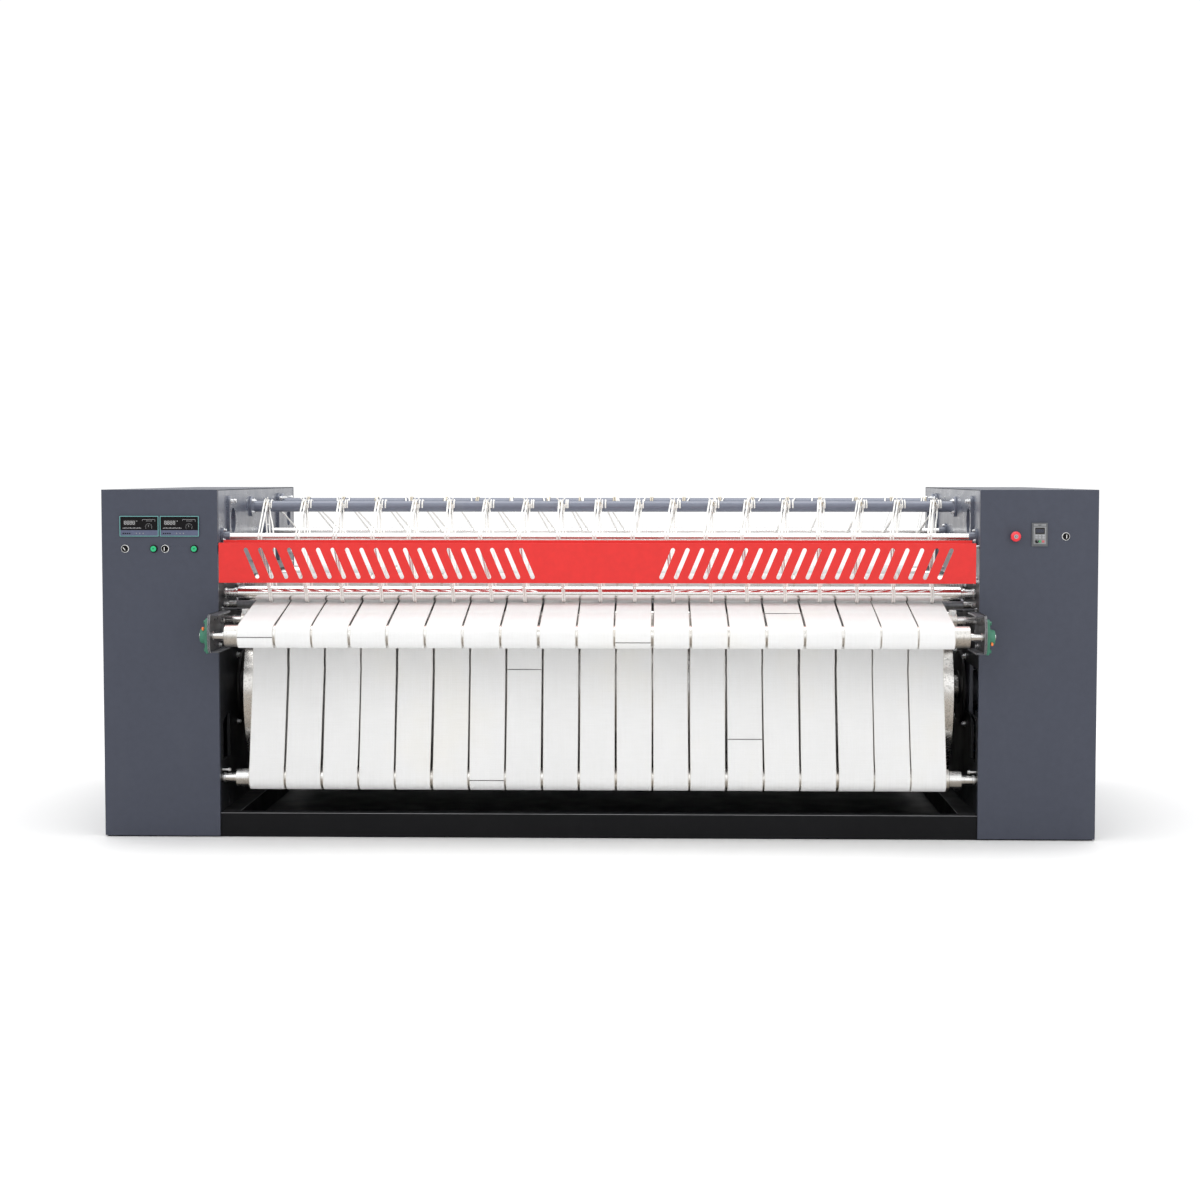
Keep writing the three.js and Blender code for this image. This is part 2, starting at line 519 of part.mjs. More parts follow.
// the switches of each cabinet share one mounting strip behind the cover
putSolid('left_switch_bank', 'black', union([
  ...SELECT_L.map((x) => switchBody(x, ROW_L, 8)), ...GREEN_L.map((x) => switchBody(x, ROW_L, 10)),
  box(-1982, -1650, 59, 63, ROW_L - 12, ROW_L + 12)]));
SELECT_L.forEach((x, i) => knob(`selector_knob_${i + 1}`, 'black', x, ROW_L));
GREEN_L.forEach((x, i) => {
  const cap = turned([[-10, 0], [-10, 8.4], [-9, 9.4], [26, 9.4], [26, 0]], 0, 0, 12);
  cap.rotateZ(Math.PI / 2);
  cap.translate(x, 0, ROW_L);
  put(`start_button_${i + 1}`, 'green', cap);
});
{
  putSolid('right_switch_bank', 'black', union([switchBody(...ESTOP, 10), switchBody(...SELECT_R, 8),
    box(ESTOP[0] - 20, SELECT_R[0] + 20, 59, 63, ESTOP[1] - 12, ESTOP[1] + 12)]));
  const cap = turned([[-32, 0], [-32, 13], [-29, 18.5], [-24, 20.5], [-18, 20.5], [-15, 15], [-15, 9.4], [20, 9.4], [20, 0]], 0, 0, 16);
  cap.rotateZ(Math.PI / 2);
  cap.translate(ESTOP[0], 0, ESTOP[1]);
  put('emergency_stop_button', 'red', cap);
  knob('selector_knob_3', 'black', ...SELECT_R);
  const [a, b, z0, z1] = KEYPAD;
  const kx = 1803, kz = 1236.5;
  let pad = box(a, b, -9, -0.4, z0, z1).add(box(a + 4, b - 4, -1, 44, z0 + 4, z1 - 4));
  pad = pad.subtract(solid(rod('y', 3.5, -10, 12, kx, kz, 12)));
  putSolid('speed_keypad', 'black', pad);
  const dial = turned([[-20, 0], [-20, 7.2], [-9.6, 8], [-9.6, 3], [8, 3], [8, 0]], 0, 0, 16);
  dial.rotateZ(Math.PI / 2);
  dial.translate(kx, 0, kz);
  put('speed_knob', 'black', dial);
}

// ---------------------------------------------------------------- drive in the right-hand cabinet
{
  const [y, z] = AXES.motor;
  const gear = box(1710, 1850, y - 85, y + 85, z - 95, z + 95);
  const foot = box(1700, 1860, y - 120, y + 120, z - 110, z - 94);
  const barrel = solid(rod('x', 84, 1849, 2010, y, z, 20));
  const post = box(1720, 1840, y - 28, y + 28, 45, z - 109);
  const rail = box(INNER + 16.4, HALF_LENGTH - 24, y - 30, y + 30, 0, 46);
  const shaftHole = solid(rod('x', 20.6, 1700, 1780, y, z, 16));
  putSolid('gearmotor', 'motor', union([gear, foot, barrel, post, rail]).subtract(shaftHole));
  put('drive_sprocket', 'iron', turned([[1640, 0], [1640, 32], [1664, 32], [1664, 72], [1676, 72], [1676, 172 / 2.3], [1686, 172 / 2.3], [1686, 32], [1700, 32], [1700, 20], [1775, 20], [1775, 0]], y, z, 16));
  const c = (p, r, s) => ({ y: p[0], z: p[1], r, s });
  const r = 172 + 5.5;
  const loop = bandOutline(tautPath([c(AXES.drum1, r, -1), c(AXES.drum2, r, -1), c(AXES.motor, 172 / 2.3 + 5.5, -1)], true, 12), 8, true);
  put('drive_chain', 'iron', prismX(loop.outer, 1677, 1685, [loop.inner]));
}

export default machine;
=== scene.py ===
import math
import random

import bpy
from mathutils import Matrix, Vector, noise
from mathutils.geometry import tessellate_polygon


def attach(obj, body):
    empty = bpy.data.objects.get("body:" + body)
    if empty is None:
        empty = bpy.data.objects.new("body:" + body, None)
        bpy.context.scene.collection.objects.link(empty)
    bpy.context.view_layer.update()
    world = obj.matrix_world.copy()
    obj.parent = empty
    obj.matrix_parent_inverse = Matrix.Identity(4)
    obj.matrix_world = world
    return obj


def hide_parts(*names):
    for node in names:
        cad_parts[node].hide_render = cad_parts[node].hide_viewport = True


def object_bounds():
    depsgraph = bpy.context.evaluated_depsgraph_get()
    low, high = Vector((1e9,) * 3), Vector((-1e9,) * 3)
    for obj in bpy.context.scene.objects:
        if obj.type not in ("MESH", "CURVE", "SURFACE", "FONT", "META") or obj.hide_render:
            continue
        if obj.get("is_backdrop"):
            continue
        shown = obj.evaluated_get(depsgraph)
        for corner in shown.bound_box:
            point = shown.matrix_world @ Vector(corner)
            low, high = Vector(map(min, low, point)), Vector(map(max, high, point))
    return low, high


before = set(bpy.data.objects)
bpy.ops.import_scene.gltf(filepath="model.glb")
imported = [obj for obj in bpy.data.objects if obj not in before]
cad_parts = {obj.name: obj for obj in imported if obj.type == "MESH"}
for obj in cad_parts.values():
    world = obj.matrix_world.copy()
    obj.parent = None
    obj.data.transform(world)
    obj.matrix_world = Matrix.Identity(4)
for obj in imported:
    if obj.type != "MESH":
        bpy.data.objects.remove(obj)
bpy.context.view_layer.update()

rnd = random.Random(11)

# Lengths below are millimetres, as in the CAD source: x along the drums, y from the front
# plane of the cabinets, z from the floor. P() turns them into the row frame, in metres.
CY = 822.0


def P(x, y, z):
    return ((x) / 1000.0, (y - CY) / 1000.0, z / 1000.0)


AX = {
    "feed": (-185, 855), "press": (125, 1013), "turn1": (225, 962), "drum1": (540, 585), "exit1": (460, 1034),
    "turn2": (1095, 962), "drum2": (1410, 585), "exit2": (1330, 1034), "rearTop": (1770, 900),
    "rearLow": (1770, 160), "idler": (970, 160), "frontLow": (58, 242), "snub": (75, 905), "bar1": (681, 1369),
    "bar2": (1476, 1374), "tube1": (100, 1251), "tube2": (1080, 1250), "guard": (38, 1213),
}
INNER, HALF, HEIGHT, DEPTH = 1574.0, 2057.0, 1448.0, 1880.0
PITCH = 153.4
CONTROLLERS, CTRL_Z = ((-1980.5, -1818.0), (-1812.5, -1650.0)), (1254.0, 1339.0)
SELECT_L, GREEN_L, ROW_L = (-1959.7, -1792.3), (-1839.8, -1670.8), 1203.0
ESTOP, SELECT_R, KEYPAD = (1715.5, 1257.0), (1923.0, 1257.0), (1783.0, 1848.0, 1216.0, 1313.0)

# ------------------------------------------------------------------ camera
cam_data = bpy.data.cameras.new("camera")
cam_data.sensor_width = 36.0
cam_data.lens = 2183.0 / 1200.0 * 36.0
cam_data.clip_end = 200.0
cam = bpy.data.objects.new("camera", cam_data)
bpy.context.scene.collection.objects.link(cam)
cam.location = P(268.0, -9000.0, 1512.0)
cam.rotation_euler = (math.radians(90.0 - 3.30), 0.0, math.radians(1.627))
bpy.context.scene.camera = cam


# ------------------------------------------------------------------ materials
def new_mat(name):
    m = bpy.data.materials.new(name)
    m.use_nodes = True
    nt = m.node_tree
    return m, nt, nt.nodes["Principled BSDF"]


def node(nt, kind, **props):
    n = nt.nodes.new(kind)
    for k, v in props.items():
        if k in n.inputs:
            n.inputs[k].default_value = v
        else:
            setattr(n, k, v)
    return n


def coords(nt, scale=(1, 1, 1), kind="Object"):
    tc = node(nt, "ShaderNodeTexCoord")
    mp = node(nt, "ShaderNodeMapping")
    mp.inputs["Scale"].default_value = scale
    nt.links.new(tc.outputs[kind], mp.inputs["Vector"])
    return mp.outputs["Vector"]


def noise_of(nt, vec, scale, detail=3.0, rough=0.55):
    n = node(nt, "ShaderNodeTexNoise")
    n.inputs["Scale"].default_value = scale
    n.inputs["Detail"].default_value = detail
    n.inputs["Roughness"].default_value = rough
    nt.links.new(vec, n.inputs["Vector"])
    return n.outputs["Fac"]


def ramp(nt, fac, stops):
    r = node(nt, "ShaderNodeValToRGB")
    while len(r.color_ramp.elements) < len(stops):
        r.color_ramp.elements.new(0.5)
    for e, (at, c) in zip(r.color_ramp.elements, stops):
        e.position = at
        e.color = (c[0], c[1], c[2], 1.0)
    nt.links.new(fac, r.inputs["Fac"])
    return r.outputs["Color"]


def to_range(nt, fac, lo, hi, a=0.3, b=0.7):
    r = node(nt, "ShaderNodeMapRange")
    r.inputs["From Min"].default_value = a
    r.inputs["From Max"].default_value = b
    r.inputs["To Min"].default_value = lo
    r.inputs["To Max"].default_value = hi
    nt.links.new(fac, r.inputs["Value"])
    return r.outputs["Result"]


def mul_col(nt, a, b, fac=1.0):
    m = node(nt, "ShaderNodeMix", data_type="RGBA", blend_type="MULTIPLY")
    m.inputs["Factor"].default_value = fac
    nt.links.new(a, m.inputs["A"])
    nt.links.new(b, m.inputs["B"])
    return m.outputs["Result"]


def math_of(nt, op, a, b=None, c=None):
    m = node(nt, "ShaderNodeMath", operation=op)
    for i, v in enumerate((a, b, c)):
        if v is None:
            continue
        if isinstance(v, (int, float)):
            m.inputs[i].default_value = v
        else:
            nt.links.new(v, m.inputs[i])
    return m.outputs[0]


def bump(nt, b, height, distance, strength=0.5, chain=None):
    n = node(nt, "ShaderNodeBump")
    n.inputs["Strength"].default_value = strength
    n.inputs["Distance"].default_value = distance
    nt.links.new(height, n.inputs["Height"])
    if chain is not None:
        nt.links.new(chain, n.inputs["Normal"])
    nt.links.new(n.outputs["Normal"], b.inputs["Normal"])
    return n.outputs["Normal"]


def shade(c, k):
    return tuple(min(1.0, x * k) for x in c)


def paint(name, rgb, rough=0.4, metal=0.0, var=0.07, peel=0.00025, coat=0.0, dust=None, coat_rough=0.1, spec=0.5):
    """Sprayed or powder-coated metal: soft tone drift, orange peel, a little dust in patches."""
    m, nt, b = new_mat(name)
    vec = coords(nt)
    big = noise_of(nt, vec, 1.7, 4.0)
    col = ramp(nt, big, [(0.25, shade(rgb, 1 - var)), (0.55, rgb), (0.8, shade(rgb, 1 + var))])
    fine = noise_of(nt, vec, 38.0, 3.0)
    col = mul_col(nt, col, ramp(nt, fine, [(0.2, (0.93, 0.93, 0.93)), (0.7, (1.03, 1.03, 1.03))]))
    if dust:
        d = noise_of(nt, coords(nt, (3, 3, 0.8)), 2.4, 6.0, 0.7)
        col2 = node(nt, "ShaderNodeMix", data_type="RGBA")
        nt.links.new(to_range(nt, d, 0.0, 0.22, 0.52, 0.8), col2.inputs["Factor"])
        nt.links.new(col, col2.inputs["A"])
        col2.inputs["B"].default_value = (dust[0], dust[1], dust[2], 1)
        col = col2.outputs["Result"]
    nt.links.new(col, b.inputs["Base Color"])
    nt.links.new(to_range(nt, noise_of(nt, vec, 9.0, 4.0), rough - 0.06, rough + 0.08), b.inputs["Roughness"])
    b.inputs["Metallic"].default_value = metal
    b.inputs["Coat Weight"].default_value = coat
    b.inputs["Coat Roughness"].default_value = coat_rough
    b.inputs["Specular IOR Level"].default_value = spec
    bump(nt, b, noise_of(nt, vec, 420.0, 2.0), peel, 0.35)
    return m


def steel(name, rgb, lo, hi, lines=(900.0, 6.0, 6.0), speck=0.0, tint=None, line_bump=0.00004):
    """Turned or ground steel: fine lines, uneven polish, optional oil specks and tint."""
    m, nt, b = new_mat(name)
    vec = coords(nt, lines)
    fine = noise_of(nt, vec, 1.0, 3.0, 0.6)
    plain = coords(nt)
    patch = noise_of(nt, plain, 5.0, 5.0, 0.62)
    stops = [(0.2, shade(rgb, 0.86)), (0.5, rgb), (0.8, shade(rgb, 1.06))]
    col = ramp(nt, patch, stops)
    col = mul_col(nt, col, ramp(nt, fine, [(0.25, (0.9, 0.9, 0.9)), (0.6, (1.02, 1.02, 1.02))]))
    if tint:
        t = noise_of(nt, coords(nt, (2.0, 1.0, 1.0)), 3.0, 5.0, 0.65)
        mx = node(nt, "ShaderNodeMix", data_type="RGBA")
        nt.links.new(to_range(nt, t, 0.0, 0.75, 0.42, 0.66), mx.inputs["Factor"])
        nt.links.new(col, mx.inputs["A"])
        mx.inputs["B"].default_value = (tint[0], tint[1], tint[2], 1)
        col = mx.outputs["Result"]
    rough = math_of(nt, "ADD", to_range(nt, patch, lo, hi, 0.3, 0.72), to_range(nt, fine, 0.0, 0.06))
    if speck > 0:
        s = noise_of(nt, plain, 120.0, 4.0, 0.7)
        col = mul_col(nt, col, ramp(nt, s, [(0.36, (1 - speck, 1 - speck, 1 - speck)), (0.5, (1, 1, 1))]))
        rough = math_of(nt, "ADD", rough, to_range(nt, s, 0.18, 0.0, 0.34, 0.5))
    nt.links.new(col, b.inputs["Base Color"])
    nt.links.new(rough, b.inputs["Roughness"])
    b.inputs["Metallic"].default_value = 1.0
    bump(nt, b, fine, line_bump, 0.4)
    return m


def plastic(name, rgb, rough=0.35, grain=0.0001, coat=0.0, spec=0.5):
    m, nt, b = new_mat(name)
    vec = coords(nt)
    n = noise_of(nt, vec, 160.0, 3.0)
    nt.links.new(ramp(nt, n, [(0.3, shade(rgb, 0.9)), (0.7, shade(rgb, 1.08))]), b.inputs["Base Color"])
    nt.links.new(to_range(nt, noise_of(nt, vec, 40.0, 4.0), rough - 0.05, rough + 0.08), b.inputs["Roughness"])
    b.inputs["Coat Weight"].default_value = coat
    b.inputs["Specular IOR Level"].default_value = spec
    bump(nt, b, noise_of(nt, vec, 900.0, 2.0), grain, 0.4)
    return m


def canvas(name, rgb, warm):
    """Woven belt cloth. UV is in metres: u across the belt, v along it."""
    m, nt, b = new_mat(name)
    uv = node(nt, "ShaderNodeTexCoord").outputs["UV"]
    sep = node(nt, "ShaderNodeSeparateXYZ")
    nt.links.new(uv, sep.inputs[0])
    u, v = sep.outputs[0], sep.outputs[1]
    su = math_of(nt, "SINE", math_of(nt, "MULTIPLY", u, 2 * math.pi / 0.0021))
    sv = math_of(nt, "SINE", math_of(nt, "MULTIPLY", v, 2 * math.pi / 0.0026))
    weave = math_of(nt, "MULTIPLY", su, sv)

    def uvmap(scale):
        mp = node(nt, "ShaderNodeMapping")
        mp.inputs["Scale"].default_value = scale
        nt.links.new(uv, mp.inputs["Vector"])
        return mp.outputs["Vector"]

    warp = noise_of(nt, uvmap((420, 5, 1)), 1.0, 3.0)
    weft = noise_of(nt, uvmap((9, 260, 1)), 1.0, 3.0)
    cloud = noise_of(nt, coords(nt), 2.1, 5.0, 0.6)
    spot = noise_of(nt, uvmap((22, 9, 1)), 1.0, 6.0, 0.75)
    col = ramp(nt, cloud, [(0.3, shade(rgb, 0.955)), (0.55, rgb), (0.78, warm)])
    col = mul_col(nt, col, ramp(nt, warp, [(0.25, (0.955, 0.953, 0.945)), (0.7, (1, 1, 1))]))
    col = mul_col(nt, col, ramp(nt, weft, [(0.25, (0.965, 0.963, 0.957)), (0.7, (1, 1, 1))]))
    col = mul_col(nt, col, ramp(nt, spot, [(0.24, (0.9, 0.88, 0.84)), (0.33, (1, 1, 1))]))
    w = ramp(nt, math_of(nt, "MULTIPLY_ADD", weave, 0.5, 0.5), [(0.0, (0.93, 0.925, 0.91)), (0.5, (1, 1, 1))])
    col = mul_col(nt, col, w)
    edge = to_range(nt, math_of(nt, "ABSOLUTE", u), 0.0, 1.0, 0.0690, 0.0712)
    mx = node(nt, "ShaderNodeMix", data_type="RGBA")
    nt.links.new(math_of(nt, "MULTIPLY", edge, 0.45), mx.inputs["Factor"])
    nt.links.new(col, mx.inputs["A"])
    mx.inputs["B"].default_value = (0.55, 0.52, 0.46, 1)
    nt.links.new(mx.outputs["Result"], b.inputs["Base Color"])
    b.inputs["Roughness"].default_value = 0.86
    b.inputs["Sheen Weight"].default_value = 0.18
    b.inputs["Sheen Roughness"].default_value = 0.5
    b.inputs["Specular IOR Level"].default_value = 0.3
    n1 = bump(nt, b, weave, 0.00035, 0.5)
    bump(nt, b, math_of(nt, "ADD", warp, weft), 0.0004, 0.35, n1)
    return m


def cotton(name, rgb, lay=0.0075, depth=0.0006):
    """Laid cotton cord. UV: u once round the cord, v along it in metres."""
    m, nt, b = new_mat(name)
    uv = node(nt, "ShaderNodeTexCoord").outputs["UV"]
    sep = node(nt, "ShaderNodeSeparateXYZ")
    nt.links.new(uv, sep.inputs[0])
    ph = math_of(nt, "MULTIPLY_ADD", sep.outputs[0], 2 * math.pi * 2,
                 math_of(nt, "MULTIPLY", sep.outputs[1], 2 * math.pi / lay))
    s = math_of(nt, "MULTIPLY_ADD", math_of(nt, "SINE", ph), 0.5, 0.5)
    base = noise_of(nt, coords(nt), 26.0, 5.0, 0.7)
    col = ramp(nt, base, [(0.25, shade(rgb, 0.84)), (0.6, rgb), (0.85, shade(rgb, 1.05))])
    col = mul_col(nt, col, ramp(nt, s, [(0.0, (0.84, 0.83, 0.80)), (0.45, (1, 1, 1))]))
    nt.links.new(col, b.inputs["Base Color"])
    b.inputs["Roughness"].default_value = 0.9
    b.inputs["Sheen Weight"].default_value = 0.25
    b.inputs["Specular IOR Level"].default_value = 0.25
    n1 = bump(nt, b, s, depth, 0.7)
    bump(nt, b, noise_of(nt, coords(nt), 1500.0, 2.0), 0.0003, 0.4, n1)
    return m


M = {
    "cabinet": paint("cabinet_paint", (0.053, 0.060, 0.086), 0.45, 0.0, 0.03, 0.0003, 0.08, (0.074, 0.081, 0.106), 0.3, 0.35),
    "inner": paint("inner_panel_paint", (0.105, 0.118, 0.158), 0.3, 0.15, 0.08, 0.0003, 0.35, (0.25, 0.26, 0.3), 0.18),
    # bar: the cabinets' blue-grey paint made about three times lighter, painted light for the sky light falling on the
    # bars
    "bar": paint("bar_paint_with_painted_light", (0.155, 0.172, 0.228), 0.34, 0.0, 0.06, 0.0003, 0.3, (0.3, 0.31, 0.34), 0.2),
    "frame": paint("frame_paint", (0.016, 0.0168, 0.0195), 0.5, 0.0, 0.12, 0.0004, 0.0, (0.03, 0.03, 0.034), 0.3, 0.3),
    "frame_in": paint("frame_inner_paint", (0.004, 0.004, 0.005), 0.55, 0.0, 0.12, 0.0004, 0.0, (0.02, 0.02, 0.022)),
    "red": paint("guard_paint", (0.70, 0.024, 0.022), 0.42, 0.0, 0.03, 0.0002, 0.08, None, 0.2, 0.35),
    "bracket_web": paint("bracket_web_paint", (0.028, 0.029, 0.034), 0.42, 0.1, 0.12, 0.0004, 0.1, (0.05, 0.05, 0.055), 0.2, 0.3),
    # bracket_edge: a light grey rim colour, a painted highlight for the light the bracket's nose edge catches
    "bracket_edge": paint("bracket_edge_painted_highlight", (0.30, 0.305, 0.32), 0.35, 0.3, 0.08, 0.0003, 0.1, (0.3, 0.3, 0.32), 0.2),
    "bracket": paint("bracket_paint", (0.075, 0.078, 0.09), 0.42, 0.1, 0.12, 0.0004, 0.1, (0.2, 0.2, 0.21)),
    "green_iron": paint("bearing_paint", (0.040, 0.190, 0.120), 0.45, 0.0, 0.14, 0.0009, 0.1, (0.1, 0.25, 0.19)),
    "grey_iron": paint("housing_paint", (0.22, 0.23, 0.27), 0.35, 0.2, 0.1, 0.0008, 0.2, (0.3, 0.3, 0.32)),
    "dark_iron": paint("black_disc_paint", (0.006, 0.006, 0.007), 0.5, 0.0, 0.1, 0.0006),
    "motor": paint("motor_paint", (0.03, 0.09, 0.17), 0.4, 0.1, 0.1, 0.0008, 0.1),
    "roller": steel("polished_roller_steel", (0.88, 0.88, 0.87), 0.17, 0.32),
    "press_steel": steel("ground_press_steel", (0.90, 0.90, 0.895), 0.06, 0.13, (900.0, 6.0, 6.0), 0.0, None, 0.000006),
    "shaft": steel("turned_shaft_steel", (0.84, 0.84, 0.83), 0.14, 0.3, (1400.0, 8.0, 8.0)),
    "worn": steel("worn_roller_steel", (0.80, 0.79, 0.765), 0.2, 0.42, (700.0, 5.0, 5.0), 0.25, (0.66, 0.61, 0.54)),
    "drum": steel("drum_steel", (0.88, 0.875, 0.865), 0.13, 0.24, (260.0, 3.0, 3.0), 0.22, (0.80, 0.77, 0.72), 0.00002),
    "journal": steel("journal_steel", (0.70, 0.70, 0.70), 0.25, 0.5, (700.0, 5.0, 5.0), 0.35),
    "grey_tube": steel("grey_roller_steel", (0.30, 0.305, 0.33), 0.3, 0.45, (500.0, 5.0, 5.0), 0.2),
    "zinc": steel("zinc_bolts", (0.86, 0.87, 0.88), 0.18, 0.36, (60.0, 60.0, 60.0), 0.1),
    "chain": steel("oiled_chain_steel", (0.32, 0.30, 0.28), 0.25, 0.45, (60.0, 60.0, 60.0), 0.4, (0.2, 0.16, 0.12)),
    "chrome": steel("chrome_ring", (0.9, 0.9, 0.9), 0.06, 0.14, (40.0, 40.0, 40.0)),
    "belt": canvas("belt_canvas", (0.828, 0.831, 0.836), (0.83, 0.82, 0.79)),
    "lace": steel("belt_lace_wire", (0.17, 0.165, 0.16), 0.35, 0.55, (900.0, 900.0, 900.0), 0.3),
    "cord": cotton("guide_cord_cotton", (0.93, 0.925, 0.90)),
    "knot": cotton("knot_cotton", (0.66, 0.60, 0.49), 0.005, 0.0008),
    "black": plastic("black_plastic", (0.009, 0.009, 0.010), 0.42, 0.0001, 0.0, 0.2),
    "gloss": plastic("display_window", (0.006, 0.006, 0.007), 0.12, 0.00003, 0.5),
    "red_button": plastic("red_button_plastic", (0.78, 0.030, 0.045), 0.28, 0.00008, 0.3),
    "green_button": plastic("green_button_plastic", (0.014, 0.45, 0.185), 0.28, 0.00008, 0.3),
    "teal": plastic("teal_bezel_plastic", (0.13, 0.34, 0.33), 0.45, 0.0002),
    "panel_black": plastic("panel_black_print", (0.007, 0.0065, 0.0075), 0.45, 0.0001, 0.0, 0.12),
    "panel_grey": plastic("panel_grey_print", (0.085, 0.10, 0.17), 0.45, 0.0001),
    "digit": plastic("segment_grey", (0.55, 0.55, 0.56), 0.4, 0.00005),
    "tick": plastic("print_light_grey", (0.30, 0.30, 0.31), 0.4, 0.00005),
    "pad_grey": plastic("keypad_grey_plastic", (0.10, 0.105, 0.115), 0.42, 0.0002),
    "pad_light": plastic("keypad_light_plastic", (0.24, 0.245, 0.25), 0.42, 0.0002),
    "key_grey": plastic("key_grey_rubber", (0.36, 0.37, 0.39), 0.5, 0.0002),
    "key_green": plastic("key_green_rubber", (0.07, 0.36, 0.13), 0.5, 0.0002),
    "key_red": plastic("key_red_rubber", (0.55, 0.10, 0.12), 0.5, 0.0002),
    "ring": plastic("satin_ring", (0.86, 0.86, 0.85), 0.3, 0.00006),
    "white": plastic("white_pointer", (0.82, 0.82, 0.81), 0.4, 0.00008),
    "orange": plastic("grease_cap_plastic", (0.85, 0.20, 0.05), 0.35, 0.0001),
    "rubber": plastic("rubber_foot_black", (0.015, 0.015, 0.015), 0.7, 0.0004),
}


def frame_with_dust_and_painted_edge_highlight():
    """Black base paint with a thin dust film on top, and a light grey painted highlight along its bevelled upper edges.
    """
    m = paint("base_frame_paint", (0.0085, 0.0088, 0.010), 0.5, 0.0, 0.12, 0.0004, 0.0, (0.016, 0.016, 0.018), 0.3, 0.10)
    nt = m.node_tree
    b = nt.nodes["Principled BSDF"]
    col = b.inputs["Base Color"].links[0].from_socket
    # painted highlight: faces between upright and level, which are the bevels of the upper edges, are mixed towards
    # light grey; level tops and upright fronts stay black
    sep = node(nt, "ShaderNodeSeparateXYZ")
    nt.links.new(node(nt, "ShaderNodeTexCoord").outputs["Normal"], sep.inputs[0])
    up = math_of(nt, "MULTIPLY", to_range(nt, sep.outputs[2], 0.0, 0.95, 0.15, 0.4),
                 to_range(nt, sep.outputs[2], 1.0, 0.02, 0.84, 0.96))
    amount = math_of(nt, "MULTIPLY", up, to_range(nt, noise_of(nt, coords(nt), 6.0, 5.0), 0.6, 1.0))
    mx = node(nt, "ShaderNodeMix", data_type="RGBA")
    nt.links.new(amount, mx.inputs["Factor"])
    nt.links.new(col, mx.inputs["A"])
    mx.inputs["B"].default_value = (0.46, 0.46, 0.48, 1)
    nt.links.new(mx.outputs["Result"], b.inputs["Base Color"])
    return m


M["beam"] = frame_with_dust_and_painted_edge_highlight()


